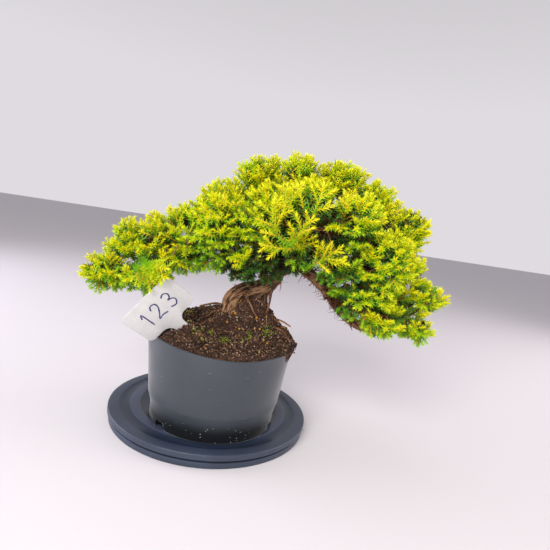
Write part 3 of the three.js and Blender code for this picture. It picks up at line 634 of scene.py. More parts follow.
class PadMesh:
    # gathers copies of the shoots of one pad
    def __init__(self, shoots):
        self.shoots = shoots
        self.copies = {key: [] for key in shoots}
        self.stems, self.leaders = [], []

    def addShoot(self, base, axis, length, age, tint, draw, inner=False):
        s = foliageSettings
        nearest = min(s["innerLengths"] if inner else s["shootLengths"],
                      key=lambda value: abs(value - length))
        key = (inner, nearest, int(draw.integers(s["variants"])))
        side, other, ahead = basisAlong(axis, draw.uniform(0, 2 * math.pi))
        self.copies[key].append((np.array([side, other, ahead * length / nearest]), base, age, tint))

    def arrays(self):
        vertices, faces, growth, kinds = [], [], [], []
        parts = [(*self.shoots[key], copy) for key, copies in self.copies.items() for copy in copies]
        parts += [(*leader, (np.eye(3), np.zeros(3), 1, 0.5)) for leader in self.leaders]
        for points, triangles, tint in self.stems:
            grown = np.tile((30.0, 0, 0, 1), (len(points), 1))
            parts.append((points, triangles, grown, np.ones(len(triangles), np.int32),
                          (np.eye(3), np.zeros(3), 1, tint)))
        count = 0
        for points, triangles, grown, kind, (basis, base, age, tint) in parts:
            vertices.append(points @ basis + base)
            faces.append(triangles + count)
            growth.append(np.column_stack([grown, np.full(len(points), tint), np.full(len(points), age)]))
            kinds.append(kind)
            count += len(points)
        return np.vstack(vertices), np.vstack(faces), np.vstack(growth), np.concatenate(kinds)


def evenDirections(count, draw):
    k = np.arange(count) + 0.5
    z = 1 - 2 * k / count
    angle = np.pi * (1 + 5 ** 0.5) * k + draw.uniform(0, 6)
    flat = np.sqrt(1 - z * z)
    return unit(np.stack([flat * np.cos(angle), flat * np.sin(angle), z], axis=1)
                + draw.normal(0, 0.05, (count, 3)))


def outsideCrown(points, lobes):
    # the distance outside the crown's skin, where its rounded lobes run softly together
    blend = foliageSettings["blend"]
    total = np.zeros(len(points))
    for centre, half in lobes:
        share = (points - centre) / half
        away = np.maximum(np.linalg.norm(share, axis=1), 1e-4)
        slope = np.maximum(np.linalg.norm(share / half, axis=1), 1e-6)
        total += np.exp(-np.clip(away * (away - 1) / slope / blend, -30, 30))
    return -blend * np.log(np.maximum(total, 1e-12))


def skinNormal(point, lobes):
    offsets = np.vstack([np.eye(3), -np.eye(3)]) * 1.5
    values = outsideCrown(point + offsets, lobes)
    return unit(values[:3] - values[3:])


def bentStem(start, end, first, last, sides, draw):
    span = np.linalg.norm(end - start)
    middle = (start + end) / 2 + draw.normal(0, 0.08 * span, 3) + (0, 0, -0.06 * span)
    path = smoothPath([[*start, first], [*middle, (first + last) / 2], [*end, last]], max(span / 4, 2.5))
    centres = path[:, :3]
    _, normals, others = tubeFrames(centres)
    spokes = spokesAround(normals, others, np.arange(sides) * 2 * np.pi / sides)
    vertices = (centres[:, None] + spokes * path[:, 3][:, None, None]).reshape(-1, 3)
    faces = []
    for k in range(len(path) - 1):
        for i in range(sides):
            a, b = k * sides + i, k * sides + (i + 1) % sides
            faces += [(a, b, b + sides), (a, b + sides, a + sides)]
    end = (len(path) - 1) * sides
    faces += [(0, i + 1, i) for i in range(1, sides - 1)]
    faces += [(end, end + i, end + i + 1) for i in range(1, sides - 1)]
    return vertices, np.array(faces)


def growSpray(pad, hub, tip, heading, broad, reach, age, tint, draw, inner=False):
    # a leader with side shoots to its left and right, all in one loose plane
    s = foliageSettings
    heading = unit(heading)
    base = tip - heading * reach
    pad.stems.append((*bentStem(hub, base + heading * 0.5, 1.0, 0.7, 3, draw), tint))
    pad.addShoot(base, heading, reach, age, tint, draw, inner)
    broad = unit(broad - heading * np.dot(broad, heading))
    count = max(2, int(round(s["sideShoots"] * min(1, reach / 22))))
    for k in range(count):
        share = 0.06 + 0.7 * k / (count - 1) + draw.normal(0, 0.02)
        lean = draw.normal(0, 0.5)
        side = 1 if k % 2 else -1
        around = side * math.cos(lean) * broad + math.sin(lean) * np.cross(heading, broad)
        tilt = math.radians(s["sideAngle"] + draw.normal(0, 6))
        way = unit(math.cos(tilt) * heading + math.sin(tilt) * around + (0, 0, 0.12))
        length = np.clip((1 - share) * reach * 0.8 + 1.5 + draw.normal(0, 1.3), 6, 18)
        pad.addShoot(base + heading * reach * share, way, length, age, tint + draw.normal(0, 0.06), draw,
                     inner)


def growLeader(pad, stations, needle, draw):
    # a long shoot on a given path, with a fan of side shoots that faces the front
    s = foliageSettings
    path = smoothPath([[*point, 1] for point in stations], 2)
    centres = path[:, :3]
    along = lengthsAlong(centres)
    length = along[-1]
    points, triangles, grown, kinds = modelShoot(length, needle, s["whorlGap"], draw)
    pad.leaders.append((bendAlong(points, path), triangles, grown * (s["leaderAge"], 1, 1, 1), kinds))
    ahead = unit(np.gradient(centres, axis=0))
    low = stations[0][0] < s["lowLeft"]
    sideAge = s["lowAge"] if low else 1
    for k, place in enumerate(np.arange(s["leaderFrom"] * length, length - 4, s["leaderGap"])):
        spot = int(np.searchsorted(along, place))
        side = (1 if k % 2 else -1) * unit(np.cross(ahead[spot], (0.1, -1, 0.25)))
        way = unit(ahead[spot] + side + draw.normal(0, 0.15, 3))
        reach = np.clip((length - place) * 0.6 + 3 + draw.normal(0, 1),
                        *s["lowSides" if low else "leaderSides"])
        pad.addShoot(centres[spot], way, reach, sideAge, 0.55 + draw.normal(0, 0.06), draw)
    return centres


def findSkin(centre, way, lobes):
    steps = np.arange(2, foliageSettings["skinSearch"], 1.0)
    values = outsideCrown(centre + way * steps[:, None], lobes)
    outside = np.nonzero(values > 0)[0]
    return steps[outside[0]] if len(outside) else None


def growSkin(pad, centre, half, lobes, chosen, draw):
    s = foliageSettings
    directions = evenDirections(s["directions"], draw)
    for way in directions[draw.permutation(len(directions))]:
        far = findSkin(centre, way, lobes)
        if far is None or far > s["farthest"] * np.linalg.norm(way * half):
            continue
        skin = centre + way * far
        if chosen and np.min(np.linalg.norm(np.array(chosen) - skin, axis=1)) < s["spraySpacing"]:
            continue
        chosen.append(skin)
        outward = skinNormal(skin, lobes)
        under = outward[2] < -0.25
        heading = unit(outward + (0, 0, 0.15 if under else s["lift"]) + draw.normal(0, 0.12, 3))
        reach = min(draw.uniform(*s["sprayLength"]), 0.9 * far)
        age = np.clip(1.2 + outward[2] * 1.1, 0.45, 1)
        tip = skin - outward * ((0.5 if under else s["tipInset"]) + draw.normal(0, 1.2))
        broad = np.cross(outward, (0, 0, 1)) + draw.normal(0, 0.35, 3)
        tint = draw.normal(0.5 + 0.1 * outward[2], 0.13)
        growSpray(pad, centre + way * 3, tip, heading, broad, reach, age, tint, draw)


def growInside(pad, centre, half, count, draw):
    # thin shaded shoots, some of them dead, so that the crown is dark inside and not empty
    s = foliageSettings
    for way in evenDirections(count, draw):
        tip = centre + way * half * s["innerReach"] * draw.uniform(0.75, 1.1)
        heading = unit(way + draw.normal(0, 0.5, 3))
        age = 0 if draw.uniform() < s["deadShare"] else 0.25
        growSpray(pad, centre + way, tip, heading, draw.normal(size=3), s["innerSpray"], age,
                  draw.normal(0.45, 0.12), draw, True)


def growThatch(pad, draw):
    # dead sprigs and needles caught along the upper side of the arch
    s = foliageSettings
    arch = smoothPath(woodSettings["limbs"]["arch"][:8], 1)
    for _ in range(s["thatch"]):
        spot = arch[draw.integers(4, len(arch))]
        outward = unit(draw.normal(size=3) * 0.45 + (0.5, -0.55, 0.6))
        way = unit(outward * 0.5 + draw.normal(size=3) * 0.6)
        pad.addShoot(spot[:3] + outward * spot[3] * 0.9, way, draw.uniform(6, 13), 0, 0.5, draw, True)


def growPad(name, pads, bridges, lobes, chosen, shoots):
    s = foliageSettings
    centre, half = pads[name]
    draw = np.random.default_rng([s["seed"], len(name), int(centre[0] * 7 + 5000), int(centre[2] * 11)])
    pad = PadMesh(shoots)
    lobesHere = [(centre, half)] + [(middle, wide) for owner, middle, wide in bridges if owner == name]
    for middle, wide in lobesHere:
        growSkin(pad, middle, wide, lobes, chosen, draw)
        growInside(pad, middle, wide, s["innerSprays"], draw)
    for owner, middle, wide, count in s["shade"]:
        if owner == name:
            growInside(pad, np.array(middle, float), np.array(wide) / s["innerReach"], count, draw)
    if name == "foliage_front_6":
        growThatch(pad, draw)
    return pad


def awlNeedles():
    # juniper needles: waxy, yellow-green where new, deep green with a pale band above where old,
    # brown when dead; darker deep in the crown and in shaded pads, partly as painted shade
    material, tree, shader = startMaterial("juniperNeedles", 0.42, 0.3)
    grown = addNode(tree, "Attribute", {"attribute_name": "growth"})
    parts = addNode(tree, "SeparateColor", inputs={"Color": grown})
    tone = addNode(tree, "ValToRGB", inputs={"Fac": parts.outputs["Red"]}, stops=[
        (0.0, "#4c2a15"), (1.0, "#dcde0c"), (0.07, "#3a2212"), (0.12, "#041403"), (0.28, "#176008"),
        (0.5, "#66b408"), (0.72, "#b0d808")])
    based = addNode(tree, "Mix", {"data_type": "RGBA"}, {
        0: parts.outputs["Green"], 6: tone, 7: hexColour("#c98a1e")})
    banded = addNode(tree, "Mix", {"data_type": "RGBA"}, {
        0: parts.outputs["Blue"], 6: based.outputs[2], 7: hexColour("#a8d49a")})
    tree.links.new(banded.outputs[2], shader.inputs["Base Color"])
    return material


def youngStems():
    # stems of the last years: smooth, amber where new and red-brown further in
    material, tree, shader = startMaterial("juniperShootStems", 0.55, 0.3)
    grown = addNode(tree, "Attribute", {"attribute_name": "growth"})
    parts = addNode(tree, "SeparateColor", inputs={"Color": grown})
    tone = addNode(tree, "ValToRGB", inputs={"Fac": parts.outputs["Red"]}, stops=[
        (0.08, "#3d2113"), (0.75, "#f4c51c"), (0.3, "#a8622a"), (0.5, "#dd9a24")])
    tree.links.new(tone.outputs["Color"], shader.inputs["Base Color"])
    return material


def limbStations():
    rows = []
    for name, stations in woodSettings["limbs"].items():
        path = smoothPath(stations, 4)
        rows.append(path[int(len(path) * 0.72):] if name == "trunk" else path)
    return np.vstack(rows)


def padTwigs(centres):
    limbPoints = limbStations()
    twigs = []
    for centre in centres:
        away = np.linalg.norm(limbPoints[:, :3] - centre, axis=1)
        nearest = limbPoints[away.argmin()]
        length = away.min()
        if length < 4:
            continue
        bend = nearest[:3] * 0.45 + centre * 0.55 - (0, 0, 0.1 * length)
        base = min(nearest[3] * 0.75, 2.6)
        twigs.append([[*nearest[:3], base], [*bend, base * 0.75], [*centre, 1.1]])
    return twigs


def buildFoliage():
    s = foliageSettings
    pads = {}
    for name in sorted(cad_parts):
        if name.startswith("foliage_"):
            low, high = boxOf(name)
            trim = np.array(s["trims"].get(name, (0,) * 6), float)
            pads[name] = ((low + high) / 2 + trim[:3], (high - low) / 2 + trim[3:])
    bridges = [(owner, np.array(centre, float), np.array(half, float))
               for owner, centre, half in s["bridges"]]
    lobes = [(centre, half * s["swell"]) for centre, half in pads.values()]
    lobes += [(centre, half) for _, centre, half in bridges]
    draw = np.random.default_rng(s["seed"])
    points, faces = modelNeedle()
    shaped, upper = shapeNeedle(points)
    needle, wider = (shaped, faces, upper), (shaped * s["innerNeedle"], faces, upper)
    shoots = {(False, length, k): modelShoot(length, needle, s["whorlGap"], draw)
              for length in s["shootLengths"] for k in range(s["variants"])}
    shoots.update({(True, length, k): modelShoot(length, wider, s["innerGap"], draw)
                   for length in s["innerLengths"] for k in range(s["variants"])})
    materials = [awlNeedles(), youngStems()]
    total, chosen = 0, []
    front = PadMesh(shoots)
    for stations in s["leaders"]:
        chosen.extend(growLeader(front, stations, needle, draw)[::4])
    for name in pads:
        pad = growPad(name, pads, bridges, lobes, chosen, shoots)
        if name == "foliage_front_3":
            pad.leaders += front.leaders
            for key, copies in front.copies.items():
                pad.copies[key] += copies
        vertices, triangles, growth, kinds = pad.arrays()
        left, alongNeedle, upper, isStem, tint, age = growth.T
        depth = -outsideCrown(vertices, lobes)
        new = np.clip(1 - left / s["freshReach"], 0, 1)
        # needles deeper inside the crown's skin are darker: partly older growth, partly painted shade
        freshAndShade = 0.17 + 0.5 * new + 0.33 * np.clip(1 - depth / s["paintedShadeDepth"], -1, 1)
        freshAndShade += 0.08 * alongNeedle + 0.35 * (tint - 0.5) + 0.05 * latticeNoise(vertices, 14, 3)
        # deep is the share a shaded pad keeps; the rest is painted shade, on needles, stems and bands alike
        deep = s["paintedShadePads"].get(name, 1)
        freshAndShade = np.maximum(freshAndShade * (0.3 + 0.7 * age) * deep, 0.12)
        freshAndShade = np.where(age == 0, 0.07 * tint, freshAndShade)
        stemFreshAndShade = np.clip(1 - left / s["stemReach"], 0.1, 1) * (0.4 + 0.6 * age)
        stemFreshAndShade = stemFreshAndShade * 0.85 * deep
        freshAndShade = np.where(isStem > 0.5, stemFreshAndShade, freshAndShade)
        amber = 0.22 * (1 - alongNeedle) * np.clip(freshAndShade * 1.5 - 0.1, 0, 1) * (age > 0)
        band = (upper * (1 - np.clip(freshAndShade * 1.2, 0, 1)) * 0.3 * deep
                * np.clip(alongNeedle * 2, 0, 1) * (age > 0))
        piece = meshPiece(name + "_sprays", vertices, triangles.tolist(), materials, False)
        piece.data.polygons.foreach_set("material_index", kinds)
        pointColours(piece, "growth", np.column_stack([np.clip(freshAndShade, 0, 1), amber, band]))
        handOver(piece, "turntable", "needles", name)
        total += len(triangles)
    print("foliage:", len(pads), "pads,", len(chosen), "sprays,", total, "triangles")
    return [centre for centre, half in pads.values()]


# Soil

soilSettings = {
    "seed": 21, "sides": 240, "rings": 84,
    "closings": 60, "closeBelow": 0.8, "smoothings": 3,  # how the cut-out for the wood is closed
    "depth": 14, "clod": 1.7, "crumb": 1.0, "grit": 0.6,
    # swells over the solid's surface: x, y, reach and rise
    "swells": [(4, -31, 9, 8), (40, -18, 9, 5), (-22, 16, 20, -3.5), (70, -22, 10, -1.5), (-17, -65, 8, 8)],
    # the peat's edge: first where it follows the sunken rim, then where it hangs over the rim,
    # each with its angle and reach in degrees, and its width and fall
    "hangs": [(-74, 32, 0.3, 2.4), (-4, 20, 1, 1.2)],
    # how many bits lie on the peat, rimCrumbs along its edge
    "rimCrumbs": 2400, "crumbs": 6200, "rootlets": 200, "fibres": 1500, "chips": 60, "grains": 110,
    # what a root mesh is strung between: the trunk's underside and the mound below it
    "meshTop": [(19, -18, 133), (26, -18, 134), (33, -17, 137), (39, -17, 140), (44, -17, 143)],
    "meshFoot": [(22, -24), (30, -25), (36, -24), (41, -22), (44, -19)],
    "meshRoots": 110,
    "pellets": [(18.6, -22.4), (15.8, -30.2), (36.5, -31.7), (46.2, -43), (49.8, -47.2), (41.1, -37.4),
                (10.1, -37.1), (22.3, -39.2)],
    "mossSpots": [
        (-31.7, -11.8, 7), (0.4, -65.9, 3), (9.8, -58.3, 4), (14.1, -53.8, 4), (27, -50.1, 4),
        (31.8, -44.1, 3),
        (47.3, -36.2, 4), (51.8, -31.8, 3), (-1.5, -50.3, 3), (-10.5, -51.9, 3), (32.3, -46.5, 3),
        (-20, -46, 4), (-16, -42, 3), (-23, -62, 4), (-14, -66, 4), (-6, -68, 4), (20, 14, 8), (-20, 18, 7),
        (44, 8, 6),
    ],
    # the crumbs' colours, each with its share
    "palette": [("#1d120d", 0.32), ("#33221a", 0.29), ("#4f392d", 0.17), ("#6f5546", 0.09), ("#947560", 0.05),
                ("#6b4c30", 0.03), ("#b39a84", 0.02), ("#8a4f2c", 0.02), ("#a08a40", 0.01)],
    "colours": {
        "grain": ("#e2dbd2", "#c9bda9"),
        "fibre": ("#6b4a34", "#8f6e50", "#4a3224", "#b39a7c", "#7a4c30"),
        "chip": ("#7d4a2b", "#a65c2c", "#9c7a58", "#5a3524", "#b08c68", "#8a6a50"),
        "moss": ("#6f8f1f", "#93a92c", "#4f6f1c", "#b2a83a"),
        "meshRoot": ("#5b4030", "#3b281c", "#7d624a", "#2a1a12", "#4a3326"),
        "rootlet": ("#8a6448", "#6b4630", "#a98865", "#4d2f20"),
    },
}


def surfaceTree(name):
    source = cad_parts[name].data
    points = [tuple(np.array(v.co) / mm) for v in source.vertices]
    return BVHTree.FromPolygons(points, [tuple(p.vertices) for p in source.polygons])


def dropOnto(ground, x, y, top=180.0):
    hit, normal, _, _ = ground.ray_cast(Vector((x, y, top)), Vector((0, 0, -1)))
    return (None, None) if hit is None else (np.array(hit), np.array(normal))


def moistPeat():
    # peat and bark compost: matt, nearly black when moist, flecked with dry tan fibre
    material, tree, shader = startMaterial("moistPeat", 0.92, 0.2)
    place = addNode(tree, "TexCoord")
    fine = addNode(tree, "TexNoise", inputs={
        "Vector": place.outputs["Object"], "Scale": perSize(1.3), "Detail": 6, "Roughness": 0.75})
    broad = addNode(tree, "TexNoise", inputs={
        "Vector": place.outputs["Object"], "Scale": perSize(9), "Detail": 2})
    both = addNode(tree, "Math", {"operation": "MULTIPLY_ADD"}, {0: broad, 1: 0.3, 2: fine})
    tone = addNode(tree, "ValToRGB", inputs={"Fac": both}, stops=[
        (0.44, "#0f0906"), (0.88, "#8a6a52"), (0.6, "#281a14"), (0.74, "#4a3428")])
    bump = addNode(tree, "Bump", inputs={"Strength": 0.9, "Distance": 0.6 * mm, "Height": fine})
    tree.links.new(tone.outputs["Color"], shader.inputs["Base Color"])
    tree.links.new(bump.outputs[0], shader.inputs["Normal"])
    return material


def looseBits():
    # crumbs, grit, bark chips and moss: each bit has its own colour, slightly mottled
    material, tree, shader = startMaterial("compostBits", 0.8, 0.3)
    tint = addNode(tree, "Attribute", {"attribute_name": "tint"})
    place = addNode(tree, "TexCoord")
    mottle = addNode(tree, "TexNoise", inputs={
        "Vector": place.outputs["Object"], "Scale": perSize(0.8), "Detail": 3})
    shade = addNode(tree, "MapRange", inputs={"Value": mottle, 1: 0.3, 2: 0.7, 3: 0.65, 4: 1.2})
    mixed = addNode(tree, "VectorMath", {"operation": "SCALE"}, {0: tint, "Scale": shade})
    tree.links.new(mixed.outputs[0], shader.inputs["Base Color"])
    return material


def modelCrumb(rounded, draw):
    # a dented grain at unit size, rounded or blocky
    deselectAll()
    if rounded:
        bpy.ops.mesh.primitive_ico_sphere_add(subdivisions=1, radius=1)
    else:
        bpy.ops.mesh.primitive_cube_add(size=1.4)
    points, faces = takeArrays(bpy.context.object)
    return points * draw.uniform(0.6, 1.15, (len(points), 1)), faces


def turnedBy(points, draw):
    w, x, y, z = unit(draw.normal(size=4))
    turn = np.array([
        [1 - 2 * (y * y + z * z), 2 * (x * y - z * w), 2 * (x * z + y * w)],
        [2 * (x * y + z * w), 1 - 2 * (x * x + z * z), 2 * (y * z - x * w)],
        [2 * (x * z - y * w), 2 * (y * z + x * w), 1 - 2 * (x * x + y * y)],
    ])
    return points @ turn.T


def ringMeans(height):
    # each point's mean with its neighbours in its ring and, inside, in the rings beside it
    around = (np.roll(height, 1, 1) + np.roll(height, -1, 1)) / 2
    around[1:-1] = (around[1:-1] * 2 + height[:-2] + height[2:]) / 4
    return around


def buildSoil():
    s = soilSettings
    draw = np.random.default_rng(s["seed"])
    ground = surfaceTree("soil")
    potLow, potHigh = boxOf("pot")
    x0, y0 = (potLow[:2] + potHigh[:2]) / 2
    source = np.array([tuple(v.co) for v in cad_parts["soil"].data.vertices]) / mm
    top = source[source[:, 2] > potHigh[2] - 12]
    # the top is drawn in rings from the rim to the middle, over heights taken from the solid below
    edge = []
    for i in range(s["sides"]):
        angle = 2 * math.pi * i / s["sides"]
        reach = 40.0
        while dropOnto(ground, x0 + reach * math.cos(angle), y0 + reach * math.sin(angle))[0] is not None:
            reach += 0.5
        edge.append(reach - 1)
    edge = np.array(edge)
    grid = np.zeros((s["rings"] + 1, s["sides"], 3))
    for k in range(s["rings"] + 1):
        share = 1 - (k / (s["rings"] + 1)) ** 1.1
        for i in range(s["sides"]):
            angle = 2 * math.pi * i / s["sides"]
            x, y = x0 + edge[i] * share * math.cos(angle), y0 + edge[i] * share * math.sin(angle)
            hit, _ = dropOnto(ground, x, y)
            grid[k, i] = (x, y, hit[2] if hit is not None else top[:, 2].min())
    # where the solid is cut out for the wood, the soil is closed up against it
    height = grid[..., 2]
    for _ in range(s["closings"]):
        around = ringMeans(height)
        height = np.where(height < around - s["closeBelow"], around, height)
    for _ in range(s["smoothings"]):
        height = height * 0.4 + ringMeans(height) * 0.6
    for x, y, reach, rise in s["swells"]:
        away = np.hypot(grid[..., 0] - x, grid[..., 1] - y) / reach
        height = height + rise * np.exp(-away ** 2)
    grid[..., 2] = height
    flat = grid.reshape(-1, 3)
    turns = np.degrees(np.arctan2(flat[:, 1] - y0, flat[:, 0] - x0))
    outer = np.clip(1 - np.arange(s["rings"] + 1) / 3, 0, 1).repeat(s["sides"])
    for angle, reach, width, fall in s["hangs"]:
        share = outer * np.exp(-((turns - angle) / reach) ** 2) * (1 + 0.7 * latticeNoise(flat, 2.5, 8))
        flat[:, :2] += unit(flat[:, :2] - (x0, y0)) * (width * share)[:, None]
        flat[:, 2] -= fall * share
    rough = (s["clod"] * latticeNoise(flat, 5.5, 1) + s["crumb"] * latticeNoise(flat, 2.1, 2)
             + s["grit"] * latticeNoise(flat, 1.0, 3))
    flat[:, 2] += rough
    inward = np.linspace(1, 0, s["rings"] + 1).repeat(s["sides"])
    flat[:, :2] += unit(flat[:, :2] - (x0, y0)) * (0.7 * latticeNoise(flat, 3.1, 5) * inward)[:, None]
    skirt = grid[0].copy()
    skirt[:, 2] -= s["depth"]
    skirt[:, :2] = (skirt[:, :2] - (x0, y0)) * 0.93 + (x0, y0)
    vertices = np.vstack([skirt, flat, [[x0, y0, height[-1].mean()]]])
    faces = [tuple(range(s["sides"]))[::-1]]
    for k in range(s["rings"] + 1):
        for i in range(s["sides"]):
            j = (i + 1) % s["sides"]
            a = k * s["sides"]
            faces.append((a + i, a + j, a + s["sides"] + j, a + s["sides"] + i))
    centre, last = len(vertices) - 1, (s["rings"] + 1) * s["sides"]
    faces += [(last + i, last + (i + 1) % s["sides"], centre) for i in range(s["sides"])]
    soil = Gathered()
    soil.add(vertices, faces, (0, 0, 0))
    piece = soil.piece("peat_top", "tint", [moistPeat()])
    handOver(piece, "turntable", "soil", "soil")
    body = BVHTree.FromPolygons([tuple(v) for v in vertices], faces)
    dressSoil(body, x0, y0, edge, flat[:s["sides"] * 9], draw)
    print("soil:", len(piece.data.polygons), "faces")


def dressSoil(ground, x0, y0, edge, rim, draw):
    s = soilSettings
    bits = Gathered()
    shapes = [modelCrumb(k >= 8, draw) for k in range(12)]
    weights = [weight for _, weight in s["palette"]]

    def somewhere(margin=1.0):
        angle = draw.uniform(0, 2 * math.pi)
        far = edge[int(angle / (2 * math.pi) * len(edge)) % len(edge)] - margin
        reach = far * math.sqrt(draw.uniform(0, 1))
        return dropOnto(ground, x0 + reach * math.cos(angle), y0 + reach * math.sin(angle))

    def paletteColour():
        return s["palette"][draw.choice(len(weights), p=weights)][0]

    def anyColour(kind):
        colours = s["colours"][kind]
        return colours[draw.integers(len(colours))]

    def add(vertices, faces, colour):
        bits.add(vertices, faces, hexColour(colour)[:3])

    def place(shape, size, colour, spot, sink=0.3):
        points, faces = shape
        add(turnedBy(points * size, draw) + spot + (0, 0, np.mean(size) * (1 - sink)), faces, colour)

    for _ in range(s["crumbs"]):
        spot, _ = somewhere()
        colour = paletteColour()
        size = draw.uniform(0.35, 0.9) * draw.uniform(0.5, 1.5, 3)
        place(shapes[draw.integers(8)], size, colour, spot)
    for _ in range(s["rimCrumbs"]):
        row = int(len(rim) * draw.uniform() ** 2.5)
        spot = rim[row] + draw.normal(0, 0.25, 3) - (0, 0, draw.uniform(0, 3) if row < s["sides"] else 0)
        colour = paletteColour()
        place(shapes[draw.integers(8)], draw.uniform(0.35, 0.8) * draw.uniform(0.5, 1.4, 3),
              colour, spot, 0.6)
    for _ in range(s["grains"]):
        spot, _ = somewhere()
        place(shapes[draw.integers(8)], draw.uniform(0.25, 0.5), anyColour("grain"), spot)
    for _ in range(s["fibres"]):
        # short straight fibres of peat
        spot, _ = somewhere()
        way = unit(draw.normal(size=3) * (1, 1, 0.45)) * draw.uniform(0.8, 2.2)
        colour = anyColour("fibre")
        vertices, faces = shapes[draw.integers(8)]
        side, other, ahead = basisAlong(way, draw.uniform(0, 6))
        turned = vertices @ np.array([side * 0.16, other * 0.16, ahead * np.linalg.norm(way)])
        add(turned + spot + (0, 0, 0.3), faces, colour)
    for _ in range(s["chips"]):
        spot, _ = somewhere(3)
        colour = anyColour("chip")
        place(shapes[8 + draw.integers(4)], np.array([2.4, 1.0, 0.5]) * draw.uniform(0.5, 1.1), colour, spot)
    for x, y in s["pellets"]:
        spot, _ = dropOnto(ground, x, y)
        place(shapes[8], np.full(3, 1.2), "#c98a1c", spot, 0.2)
    for cx, cy, reach in s["mossSpots"]:
        for _ in range(int(reach * 9)):
            x, y = draw.normal((cx, cy), reach / 2.2)
            spot, _ = dropOnto(ground, x, y)
            if spot is None:
                continue
            tuft = unit(draw.normal(size=3) * 0.5 + (0, 0, 1)) * draw.uniform(0.9, 2.2)
            vertices, faces = ribbon(spot - tuft * 0.2, tuft, np.linalg.norm(tuft), 0.6,
                                     draw.uniform(-0.6, 0.6), draw)
            add(vertices, faces, anyColour("moss"))
    tops, feet = np.array(s["meshTop"], float), np.array(s["meshFoot"], float)
    spread = np.arange(len(tops))
    for _ in range(s["meshRoots"]):
        # fine roots between the trunk's underside and the mound
        share, slide = draw.uniform(0, len(tops) - 1), draw.normal(0, 0.9)
        start = np.array([np.interp(share, spread, tops[:, k]) for k in range(3)]) + draw.normal(0, 1.2, 3)
        foot = [np.interp(share + slide, spread, feet[:, k]) for k in range(2)] + draw.normal(0, 1.5, 2)
        hit, _ = dropOnto(ground, foot[0], foot[1], start[2])
        if hit is None:
            continue
        thick = draw.uniform(0.15, 0.38)
        middle = (start + hit) / 2 + draw.normal(0, 1, 3)
        path = [[*start, thick], [*middle, thick], [*(hit + (0, 0, -0.6)), thick * 0.7]]
        vertices, faces = tube(path, 5, 2)[:2]
        add(vertices, faces, anyColour("meshRoot"))
    for _ in range(s["rootlets"]):
        spot, _ = somewhere(2)
        way = draw.uniform(0, 2 * math.pi)
        steps, path = draw.integers(3, 7), []
        thick = draw.uniform(0.15, 0.36)
        x, y = spot[:2]
        for _ in range(steps):
            hit, _ = dropOnto(ground, x, y)
            if hit is None:
                break
            path.append([x, y, hit[2] + draw.uniform(-0.1, 0.9), thick])
            way += draw.normal(0, 0.45)
            x, y = x + 2 * math.cos(way), y + 2 * math.sin(way)
        if len(path) > 2:
            vertices, faces = tube(path, 5, 1.5)[:2]
            add(vertices, faces, anyColour("rootlet"))
    piece = bits.piece("peat_crumbs", "tint", [looseBits()], False)
    handOver(piece, "turntable", "soil")


# Pot and turntable are turned shapes: a circle is extruded and resized ring by ring

def turnShape(name, profile, sides, centre=(0, 0)):
    deselectAll()
    x, y = centre[0] * mm, centre[1] * mm
    radius, height = profile[0]
    bpy.ops.mesh.primitive_circle_add(vertices=sides, radius=radius * mm, fill_type="NGON",
                                      location=(x, y, height * mm))
    piece = bpy.context.object
    piece.name = name
    bpy.ops.object.transform_apply(location=True)
    bpy.ops.object.mode_set(mode="EDIT")
    bpy.ops.mesh.select_all(action="SELECT")
    for newRadius, newHeight in profile[1:]:
        bpy.ops.mesh.extrude_region_move(TRANSFORM_OT_translate={"value": (0, 0, (newHeight - height) * mm)})
        scale = newRadius / radius
        bpy.ops.transform.resize(value=(scale, scale, 1), center_override=(x, y, newHeight * mm))
        radius, height = newRadius, newHeight
    bpy.ops.mesh.select_all(action="SELECT")
    bpy.ops.mesh.normals_make_consistent(inside=False)
    bpy.ops.object.mode_set(mode="OBJECT")
    return piece


def roundOver(fromPoint, toPoint, corner, steps):
    # points of a quarter round between two ends, bulging towards corner
    made = []
    for k in range(steps + 1):
        t = k / steps
        a, b, c = (1 - t) ** 2, 2 * t * (1 - t), t * t
        made.append((a * fromPoint[0] + b * corner[0] + c * toPoint[0],
                     a * fromPoint[1] + b * corner[1] + c * toPoint[1]))
    return made


plateSettings = {"sides": 192, "rings": [89.3, 79.2, 69.6], "ringDepth": 0.35, "edge": 1.1}


